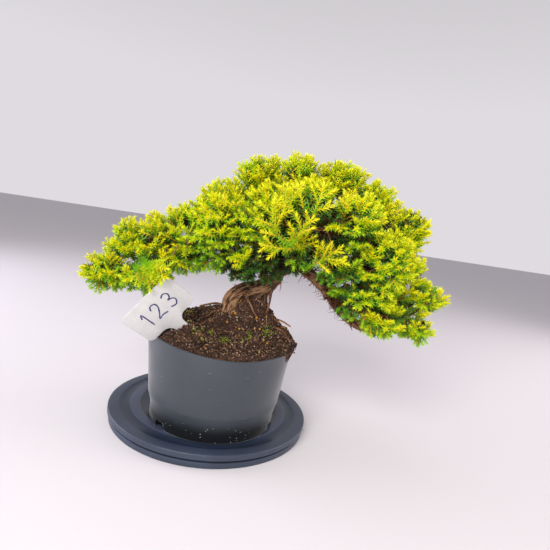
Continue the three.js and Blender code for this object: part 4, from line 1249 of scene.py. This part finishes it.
def mouldedPlate(name):
    # turntable plates are moulded ABS: satin, slate blue; each ring's different sheen is painted into its
    # tone as painted sheen
    material, tree, shader = startMaterial(name, 0.4, 0.35)
    place = addNode(tree, "TexCoord")
    grain = addNode(tree, "TexNoise", inputs={
        "Vector": place.outputs["Object"], "Scale": perSize(0.5), "Detail": 2})
    cloud = addNode(tree, "TexNoise", inputs={
        "Vector": place.outputs["Object"], "Scale": perSize(26), "Detail": 4, "Roughness": 0.6})
    dust = addNode(tree, "TexVoronoi", inputs={
        "Vector": place.outputs["Object"], "Scale": perSize(3.4), "Randomness": 1})
    flat = addNode(tree, "VectorMath", {"operation": "MULTIPLY"}, {0: place.outputs["Object"], 1: (1, 1, 0)})
    radius = addNode(tree, "VectorMath", {"operation": "LENGTH"}, {0: flat})
    share = addNode(tree, "Math", {"operation": "MULTIPLY"}, {0: radius.outputs["Value"], 1: 10})
    # one tone a ring: the rings' different sheen, painted as colour
    rings = addNode(tree, "ValToRGB", inputs={"Fac": share}, stops=[
        (0, "#1f2634"), (1.0, "#323a49"), (0.694, "#1f2634"), (0.698, "#363c4e"), (0.79, "#363c4e"),
        (0.794, "#1f2839"), (0.891, "#1f2839"), (0.895, "#2d3547")])
    shade = addNode(tree, "MapRange", inputs={"Value": cloud, 1: 0.3, 2: 0.7, 3: 0.86, 4: 1.14})
    toned = addNode(tree, "VectorMath", {"operation": "SCALE"}, {0: rings, "Scale": shade})
    speck = addNode(tree, "MapRange", inputs={"Value": dust, 1: 0.09, 2: 0.04, 3: 0, 4: 0.55})
    thin = addNode(tree, "MapRange", inputs={"Value": cloud, 1: 0.5, 2: 0.62, 3: 0, 4: 1})
    amount = addNode(tree, "Math", {"operation": "MULTIPLY"}, {0: speck, 1: thin})
    dusted = addNode(tree, "Mix", {"data_type": "RGBA"}, {0: amount, 6: toned, 7: hexColour("#b9b8bf")})
    bump = addNode(tree, "Bump", inputs={"Strength": 0.12, "Distance": 0.1 * mm, "Height": grain})
    tree.links.new(dusted.outputs[2], shader.inputs["Base Color"])
    tree.links.new(bump.outputs[0], shader.inputs["Normal"])
    return material


def buildTurntable():
    s = plateSettings
    low, high = boxOf("turntable_top")
    radius, bottom, top = high[0], low[2], high[2]
    outer, middle, inner = s["rings"]
    deep = top - s["ringDepth"]
    edge = s["edge"]
    profile = [(radius - 9, bottom), (radius - 3, bottom), (radius - 2.8, bottom + 1.2),
               (radius - 0.5, bottom + 1.2),
               (radius, bottom + 1.6), (radius, top - edge)]
    profile += roundOver((radius, top - edge), (radius - edge, top), (radius, top), 5)[1:]
    profile += [(outer + 0.8, top), (outer + 0.4, top - 0.08), (outer, deep), (middle, deep),
                (middle - 0.4, top - 0.08),
                (middle - 0.8, top), (inner + 0.8, top), (inner + 0.4, top - 0.08), (inner, deep), (1, deep)]
    plate = turnShape("turntable_upper_plate", profile, s["sides"])
    smoothUnder(plate, 40)
    plate.data.materials.append(mouldedPlate("mouldedSlatePlastic"))
    handOver(plate, "turntable", "plate_plastic", "turntable_top")
    high = boxOf("turntable_base")[1]
    radius, top = high[0], high[2]
    profile = [(radius - 1.6, 0), (radius - 0.5, 0.25), (radius, 0.9), (radius, top - 0.8),
               (radius - 0.25, top - 0.2),
               (radius - 0.8, top), (1, top)]
    base = turnShape("turntable_lower_plate", profile, s["sides"])
    smoothUnder(base, 40)
    base.data.materials.append(plate.data.materials[0])
    handOver(base, "base", "plate_plastic", "turntable_base")
    print("turntable built")


potSettings = {
    # where the rim has sunk: fall and the wall's height it takes in mm, angle and reach in degrees
    "sag": 2.6, "sagHeight": 14, "sagAngle": -74, "sagReach": 32,
    "sides": 160, "wall": 2, "foot": 13, "footRadius": 59.6, "shoulder": 24, "shoulderRadius": 63,
    "rimRadius": 69.2, "height": 82, "spare": 6, "slantX": -0.041, "slantY": 0.04,
    "slotWidth": 12, "slotHeight": 5.5, "slotDepth": 14, "slotAngles": [228, 348, 108], "lip": 0.45,
}


def satinPot(potBottom):
    # injection-moulded polypropylene: satin grey, scuffed, with lime dust near the foot; the recessed foot is
    # painted darker as painted shade
    material, tree, shader = startMaterial("mouldedPolypropylene", 0.32, 0.6)
    shader.inputs["Sheen Weight"].default_value = 0.5  # a haze of fine scuffs that pales the pot's sides
    shader.inputs["Sheen Roughness"].default_value = 0.3
    uv = addNode(tree, "UVMap", {"uv_map": "wall"})
    place = addNode(tree, "TexCoord")
    parts = addNode(tree, "SeparateXYZ", inputs={"Vector": uv})
    cloud = addNode(tree, "TexNoise", inputs={
        "Vector": place.outputs["Object"], "Scale": perSize(30), "Detail": 5, "Roughness": 0.6})
    shade = addNode(tree, "MapRange", inputs={"Value": cloud, 1: 0.3, 2: 0.7, 3: 0.9, 4: 1.1})
    toned = addNode(tree, "VectorMath", {"operation": "SCALE"}, {0: hexColour("#31373f")[:3], "Scale": shade})
    # painted shade and painted reflection: the pot darkens and loses gloss towards the foot, as under the
    # overhanging shoulder above the dark plate
    footShadeMask = addNode(tree, "MapRange", {"interpolation_type": "SMOOTHSTEP"}, {
        "Value": parts.outputs["Y"], 1: (potBottom + 7) * mm, 2: (potBottom + 23) * mm, 3: 0.16, 4: 1})
    shadedFoot = addNode(tree, "VectorMath", {"operation": "SCALE"}, {0: toned, "Scale": footShadeMask})
    flecks = addNode(tree, "TexVoronoi", inputs={
        "Vector": place.outputs["Object"], "Scale": perSize(3.6), "Randomness": 1})
    fleck = addNode(tree, "MapRange", inputs={"Value": flecks, 1: 0.13, 2: 0.05, 3: 0, 4: 0.8})
    lowDown = addNode(tree, "MapRange", inputs={
        "Value": parts.outputs["Y"], 1: (potBottom + 34) * mm, 2: (potBottom + 4) * mm, 3: 0.02, 4: 0.75})
    patch = addNode(tree, "TexNoise", inputs={
        "Vector": place.outputs["Object"], "Scale": perSize(11), "Detail": 3})
    patchy = addNode(tree, "Math", {"operation": "MULTIPLY"}, {0: patch, 1: lowDown})
    few = addNode(tree, "MapRange", inputs={"Value": patchy, 1: 0.16, 2: 0.34, 3: 0, 4: 1})
    amount = addNode(tree, "Math", {"operation": "MULTIPLY"}, {0: fleck, 1: few})
    stretched = addNode(tree, "Mapping", inputs={"Vector": uv, "Scale": (0.22, 1, 1)})
    scuffs = addNode(tree, "TexNoise", inputs={"Vector": stretched, "Scale": perSize(1.2), "Detail": 2})
    scuff = addNode(tree, "MapRange", inputs={"Value": scuffs, 1: 0.72, 2: 0.8, 3: 0, 4: 0.5})
    crackShadeAndWear = addNode(tree, "Math", {"operation": "MAXIMUM"}, {0: amount, 1: scuff})
    dusted = addNode(tree, "Mix", {"data_type": "RGBA"}, {0: crackShadeAndWear, 6: shadedFoot, 7: hexColour("#c9c6c8")})
    gloss = addNode(tree, "Math", {"operation": "MULTIPLY"}, {0: footShadeMask, 1: 0.6})
    tree.links.new(gloss.outputs[0], shader.inputs["Specular IOR Level"])
    rougher = addNode(tree, "MapRange", inputs={"Value": cloud, 1: 0.3, 2: 0.7, 3: 0.3, 4: 0.44})
    grain = addNode(tree, "TexNoise", inputs={
        "Vector": place.outputs["Object"], "Scale": perSize(0.7), "Detail": 2})
    bump = addNode(tree, "Bump", inputs={"Strength": 0.1, "Distance": 0.08 * mm, "Height": grain})
    tree.links.new(dusted.outputs[2], shader.inputs["Base Color"])
    tree.links.new(rougher.outputs[0], shader.inputs["Roughness"])
    tree.links.new(bump.outputs[0], shader.inputs["Normal"])
    return material


def buildPot():
    s = potSettings
    low, high = boxOf("pot")
    centre, bottom = ((low + high) / 2)[:2], low[2]
    x0, y0 = centre * mm
    taper = (s["rimRadius"] - s["shoulderRadius"]) / (s["height"] - s["shoulder"])
    profile = [(s["footRadius"] - 2, 0), (s["footRadius"] - 0.6, 0.2), (s["footRadius"], 0.9),
               (s["footRadius"] + 0.1, s["foot"] - 3)]
    profile += roundOver(profile[-1], (s["shoulderRadius"], s["shoulder"]),
                         (s["footRadius"] + 0.9, s["foot"] + 4), 9)[1:]
    profile.append((s["rimRadius"] + taper * s["spare"], s["height"] + s["spare"]))
    pot = turnShape("nursery_pot", [(r, z + bottom) for r, z in profile], s["sides"], centre)
    bpy.ops.object.mode_set(mode="EDIT")
    bpy.ops.mesh.select_all(action="SELECT")
    # the rim is cut slightly askew, and the top cap goes with it
    cut = Vector((-s["slantX"], -s["slantY"], 1)).normalized()
    bpy.ops.mesh.bisect(plane_co=(x0, y0, (bottom + s["height"]) * mm), plane_no=cut,
                        clear_outer=True, clear_inner=False)
    bpy.ops.object.mode_set(mode="OBJECT")
    applyModifier(pot, "SOLIDIFY", thickness=s["wall"] * mm, offset=-1, use_even_offset=True)
    applyModifier(pot, "BEVEL", width=s["lip"] * mm, segments=3, limit_method="ANGLE",
                  angle_limit=math.radians(70))
    # the rim has sunk a little at the front
    for vertex in pot.data.vertices:
        turn = math.degrees(math.atan2(vertex.co.y - y0, vertex.co.x - x0))
        share = min(1, max(0, vertex.co.z / mm - bottom - s["height"] + s["sagHeight"]) / s["sagHeight"])
        vertex.co.z -= s["sag"] * mm * share * math.exp(-((turn - s["sagAngle"]) / s["sagReach"]) ** 2)
    for angle in s["slotAngles"]:
        deselectAll()
        turn = math.radians(angle)
        reach = s["footRadius"] * mm
        bpy.ops.mesh.primitive_cube_add(size=1, rotation=(0, 0, turn), location=(
            x0 + reach * math.cos(turn), y0 + reach * math.sin(turn), bottom * mm))
        cutter = bpy.context.object
        cutter.scale = (s["slotDepth"] * mm, s["slotWidth"] * mm, 2 * s["slotHeight"] * mm)
        settle(cutter)
        applyModifier(cutter, "BEVEL", width=0.9 * mm, segments=3)
        applyModifier(pot, "BOOLEAN", object=cutter, operation="DIFFERENCE", solver="MANIFOLD")
        bpy.data.objects.remove(cutter)
    smoothUnder(pot, 35)
    mesh = pot.data
    uv = mesh.uv_layers.new(name="wall")
    for face in mesh.polygons:
        middle = math.atan2(face.center.y - y0, face.center.x - x0)
        for loop in face.loop_indices:
            point = mesh.vertices[mesh.loops[loop].vertex_index].co
            angle = math.atan2(point.y - y0, point.x - x0)
            angle += 2 * math.pi * round((middle - angle) / (2 * math.pi))
            uv.data[loop].uv = (angle * s["rimRadius"] * mm, point.z)
    mesh.materials.clear()
    mesh.materials.append(satinPot(bottom))
    handOver(pot, "turntable", "pot_plastic", "pot")
    print("pot:", len(mesh.polygons), "faces")


# Tag

tagSettings = {
    "centre": (-43.6, -79, 121.7), "long": 54.4, "wide": 33.6, "corner": 5, "thickness": 0.9,
    "neckWidth": 11.6, "neckReach": 60, "fillet": 7, "pointWidth": 7, "pointLength": 6,
    "facing": (0.371, -0.888, -0.271), "stemDown": (0.705, 0.459, -0.54),
    "penWidth": 1.25,
    # strokes of three plain figures, in mm from the tag's middle, each stroke a list of points
    "strokes": [
        [(-15, 4.5), (-12.6, 7.2), (-12.4, -6.5)],
        [(-4.6, 4.6), (-2.4, 7.4), (1.6, 6.6), (1.9, 2.8), (-1.2, -1.8), (-5.2, -6.2), (-1, -5.6),
         (3.6, -6.6)],
        [(9.4, 6.2), (12.4, 7.6), (15.4, 5.4), (14.4, 1.8), (11.6, 0.7), (15.2, -0.6), (16.4, -3.8),
         (13.4, -7),
         (9.2, -6)],
    ],
}


def tagBasis():
    s = tagSettings
    face = unit(s["facing"])
    up = -np.array(s["stemDown"], float)
    up = unit(up - face * np.dot(up, face))
    return np.cross(up, face), up, face


def whiteTagPlastic():
    # punched polystyrene sheet: white with a cool cast, semi-matt, faintly scuffed and soiled
    material, tree, shader = startMaterial("punchedPolystyreneTag", 0.34, 0.5)
    place = addNode(tree, "TexCoord")
    haze = addNode(tree, "TexNoise", inputs={
        "Vector": place.outputs["Object"], "Scale": perSize(12), "Detail": 5, "Roughness": 0.65})
    tone = addNode(tree, "ValToRGB", inputs={"Fac": haze}, stops=[(0.3, "#b4b3b3"), (0.7, "#c2c1c1")])
    specks = addNode(tree, "TexVoronoi", inputs={
        "Vector": place.outputs["Object"], "Scale": perSize(7), "Randomness": 1})
    speck = addNode(tree, "MapRange", inputs={"Value": specks, 1: 0.06, 2: 0.03, 3: 0, 4: 0.6})
    soiled = addNode(tree, "Mix", {"data_type": "RGBA"}, {0: speck, 6: tone, 7: hexColour("#8c7c78")})
    tree.links.new(soiled.outputs[2], shader.inputs["Base Color"])
    return material


def feltPenInk():
    # felt-pen ink on plastic: blue-black, denser where the pen rested
    material, tree, shader = startMaterial("feltPenInk", 0.5, 0.4)
    place = addNode(tree, "TexCoord")
    flow = addNode(tree, "TexNoise", inputs={
        "Vector": place.outputs["Object"], "Scale": perSize(3), "Detail": 3})
    tone = addNode(tree, "ValToRGB", inputs={"Fac": flow}, stops=[(0.35, "#23264a"), (0.7, "#4a4c74")])
    tree.links.new(tone.outputs["Color"], shader.inputs["Base Color"])
    return material


def penStroke(points, width, lift, basis, centre):
    # a flat ribbon with round ends along the stroke, 0.05 mm proud of the tag
    across, up, face = basis
    path = smoothPath([[x, y, 0, 1] for x, y in points], 0.7)[:, :2]
    ways = unit(np.gradient(path, axis=0))
    sides = np.stack([-ways[:, 1], ways[:, 0]], axis=1)
    half = width / 2 * (1 + 0.12 * np.sin(np.arange(len(path)) * 0.7))
    outline = list(path + sides * half[:, None])
    end = math.atan2(sides[-1][1], sides[-1][0])
    outline += [path[-1] + half[-1] * np.array([math.cos(end - a), math.sin(end - a)])
                for a in (0.8, 1.57, 2.35)]
    outline += list((path - sides * half[:, None])[::-1])
    start = math.atan2(-sides[0][1], -sides[0][0])
    outline += [path[0] + half[0] * np.array([math.cos(start - a), math.sin(start - a)])
                for a in (0.8, 1.57, 2.35)]
    count = len(path)
    flat = np.array(outline)
    upper = centre + flat[:, :1] * across + flat[:, 1:] * up + face * (lift + 0.05)
    lower = upper - face * 0.09
    total = len(flat)
    faces = []
    for k in range(count - 1):
        mirror = count + 3 + (count - 1 - k)
        faces.append((k, mirror, mirror - 1, k + 1))
    faces.append((count - 1, count + 3, count + 2, count + 1, count))
    faces.append((0, total - 1, total - 2, total - 3, 2 * count + 2))
    faces += [tuple(v + total for v in face[::-1]) for face in list(faces)]
    faces += [(i, (i + 1) % total, (i + 1) % total + total, i + total) for i in range(total)]
    return np.vstack([upper, lower]), faces


def buildTag():
    s = tagSettings
    deselectAll()
    long, wide = s["long"] * mm, s["wide"] * mm
    bpy.ops.mesh.primitive_plane_add(size=1)
    tag = bpy.context.object
    tag.name = "plant_tag"
    tag.scale = (long, wide, 1)
    settle(tag)
    bpy.ops.object.mode_set(mode="EDIT")
    half = s["neckWidth"] / 2 * mm
    for x in (-half, half):
        bpy.ops.mesh.select_all(action="SELECT")
        bpy.ops.mesh.bisect(plane_co=(x, 0, 0), plane_no=(1, 0, 0))
    bpy.ops.mesh.select_mode(type="EDGE")
    bpy.ops.mesh.select_all(action="DESELECT")
    bpy.ops.object.mode_set(mode="OBJECT")
    for edge in tag.data.edges:
        ends = [tag.data.vertices[v].co for v in edge.vertices]
        edge.select = all(abs(p.x) < half * 1.01 and p.y < -wide / 2 * 0.99 for p in ends)
    bpy.ops.object.mode_set(mode="EDIT")
    drop = (s["neckReach"] - s["wide"] / 2 - s["pointLength"]) * mm
    bpy.ops.mesh.extrude_region_move(TRANSFORM_OT_translate={"value": (0, -drop, 0)})
    narrow = s["pointWidth"] / s["neckWidth"]
    bpy.ops.transform.resize(value=(narrow, 1, 1), center_override=(0, -wide / 2 - drop, 0))
    bpy.ops.mesh.extrude_region_move(TRANSFORM_OT_translate={"value": (0, -s["pointLength"] * mm, 0)})
    bpy.ops.mesh.merge(type="CENTER")
    bpy.ops.mesh.select_all(action="SELECT")
    bpy.ops.mesh.dissolve_limited(angle_limit=math.radians(1))
    bpy.ops.mesh.select_mode(type="VERT")
    # the head's corners first, then where the neck meets it
    for width, picked in (
            (s["corner"], lambda p: abs(p.x) > long * 0.49),
            (s["fillet"], lambda p: abs(abs(p.x) - half) < half * 0.02 and p.y < -wide * 0.49)):
        bpy.ops.mesh.select_all(action="DESELECT")
        bpy.ops.object.mode_set(mode="OBJECT")
        for vertex in tag.data.vertices:
            vertex.select = picked(vertex.co)
        bpy.ops.object.mode_set(mode="EDIT")
        bpy.ops.mesh.bevel(offset=width * mm, segments=8, affect="VERTICES")
    bpy.ops.object.mode_set(mode="OBJECT")
    across, up, face = tagBasis()
    applyModifier(tag, "SOLIDIFY", thickness=s["thickness"] * mm, offset=0)
    applyModifier(tag, "BEVEL", width=0.2 * mm, segments=2, limit_method="ANGLE",
                  angle_limit=math.radians(50))
    centre = np.array(s["centre"]) * mm
    turn = Matrix((tuple(across), tuple(up), tuple(face))).transposed().to_4x4()
    tag.data.transform(Matrix.Translation(centre) @ turn)
    smoothUnder(tag, 40)
    tag.data.materials.append(whiteTagPlastic())
    handOver(tag, "turntable", "label_plastic", "plant_label")
    ink = Gathered()
    for points in s["strokes"]:
        vertices, faces = penStroke(points, s["penWidth"], s["thickness"] / 2, (across, up, face),
                                    np.array(s["centre"]))
        ink.add(vertices, faces, (0, 0, 0))
    marks = ink.piece("tag_figures", "tint", [feltPenInk()], False)
    handOver(marks, "turntable", "label_plastic")
    print("tag built")


# Inner pieces that keep their solid's shape

innerSettings = {
    # bright steel with fine turning marks: name, roughness, metallic, size of the marks, dark and pale tone
    "pivot_pin": ("turnedSteelPin", 0.32, 1.0, 0.6, "#8f9194", "#b9bbbd"),
    # slippery ivory plastic, faintly cloudy
    "glide_ring": ("acetalGlideRing", 0.4, 0.0, 8, "#d2d0c6", "#e0ded6"),
}


def innerFinishes():
    for node, (name, roughness, metallic, size, dark, pale) in innerSettings.items():
        material, tree, shader = startMaterial(name, roughness)
        shader.inputs["Metallic"].default_value = metallic
        place = addNode(tree, "TexCoord")
        marks = addNode(tree, "TexNoise", inputs={"Vector": place.outputs["Object"], "Scale": perSize(size)})
        tone = addNode(tree, "ValToRGB", inputs={"Fac": marks}, stops=[(0.3, dark), (0.7, pale)])
        tree.links.new(tone.outputs["Color"], shader.inputs["Base Color"])
        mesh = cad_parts[node].data
        mesh.materials.clear()
        mesh.materials.append(material)


# Floor, lights and camera

studioSettings = {
    "floorSize": 60, "floorColour": "#d2ced3", "skyColour": "#ece8ed", "skyStrength": (0.88, 0.42),
    "cameraAt": (47.79, -416.45, 200.67), "pitch": 0.1052, "roll": 0.1495,
    "focalPixels": 413, "imagePixels": 550, "sensor": 36, "lampAim": (0.03, 0, 0.12),
    # place and size in metres, power in watts and colour
    "lamps": {
        "keyLamp": ((-0.4, -1.4, 0.95), 1.0, 34, "#fffcf6"),
        "leftPanel": ((-1.2, 0.1, 0.45), 1.0, 13, "#f8f4ff"),
        "rightPanel": ((1.3, 0.1, 0.45), 1.0, 12, "#fff7f4"),
    },
}


def buildStudio():
    s = studioSettings
    deselectAll()
    bpy.ops.mesh.primitive_plane_add(size=s["floorSize"])
    floor = bpy.context.object
    floor.name = "floor"
    paper, _, shader = startMaterial("matteFloor", 0.8, 0.3)
    shader.inputs["Base Color"].default_value = hexColour(s["floorColour"])
    floor.data.materials.append(paper)
    world = bpy.data.worlds.new("softRoom")
    bpy.context.scene.world = world
    world.use_nodes = True
    sky = world.node_tree.nodes["Background"]
    sky.inputs["Color"].default_value = hexColour(s["skyColour"])
    way = addNode(world.node_tree, "TexCoord")
    parts = addNode(world.node_tree, "SeparateXYZ", inputs={"Vector": way.outputs["Generated"]})
    low, high = s["skyStrength"]
    dim = addNode(world.node_tree, "MapRange", inputs={
        "Value": parts.outputs["Z"], 1: 0.3, 2: 0.95, 3: low, 4: high})
    world.node_tree.links.new(dim.outputs[0], sky.inputs["Strength"])
    for name, (place, size, power, colour) in s["lamps"].items():
        data = bpy.data.lights.new(name, "AREA")
        data.energy, data.size, data.color = power, size, hexColour(colour)[:3]
        lamp = bpy.data.objects.new(name, data)
        lamp.location = place
        lamp.rotation_euler = (Vector(s["lampAim"]) - Vector(place)).to_track_quat("-Z", "Y").to_euler()
        bpy.context.scene.collection.objects.link(lamp)
    camera = bpy.data.cameras.new("camera")
    camera.sensor_width = s["sensor"]
    camera.lens = s["sensor"] * s["focalPixels"] / s["imagePixels"]
    camera.clip_start = 0.01
    rig = bpy.data.objects.new("camera", camera)
    bpy.context.scene.collection.objects.link(rig)
    p, roll = s["pitch"], s["roll"]
    forward = Vector((0, math.cos(p), -math.sin(p)))
    level = Vector((1, 0, 0))
    upright = Vector((0, math.sin(p), math.cos(p)))
    right = math.cos(roll) * level + math.sin(roll) * upright
    above = -math.sin(roll) * level + math.cos(roll) * upright
    turn = Matrix((right, above, -forward)).transposed().to_4x4()
    rig.matrix_world = Matrix.Translation(Vector(s["cameraAt"]) * mm) @ turn
    bpy.context.scene.camera = rig
    bpy.context.scene.view_settings.view_transform = "Standard"
    print("studio set")


padCentres = buildFoliage()
buildWood(padCentres)
buildSoil()
buildPot()
buildTurntable()
buildTag()
innerFinishes()
buildStudio()
counts = [sum(len(face.vertices) - 2 for face in piece.data.polygons)
          for piece in bpy.data.objects if piece.type == "MESH"]
print("triangles in all:", sum(counts), "and in the largest piece:", max(counts))
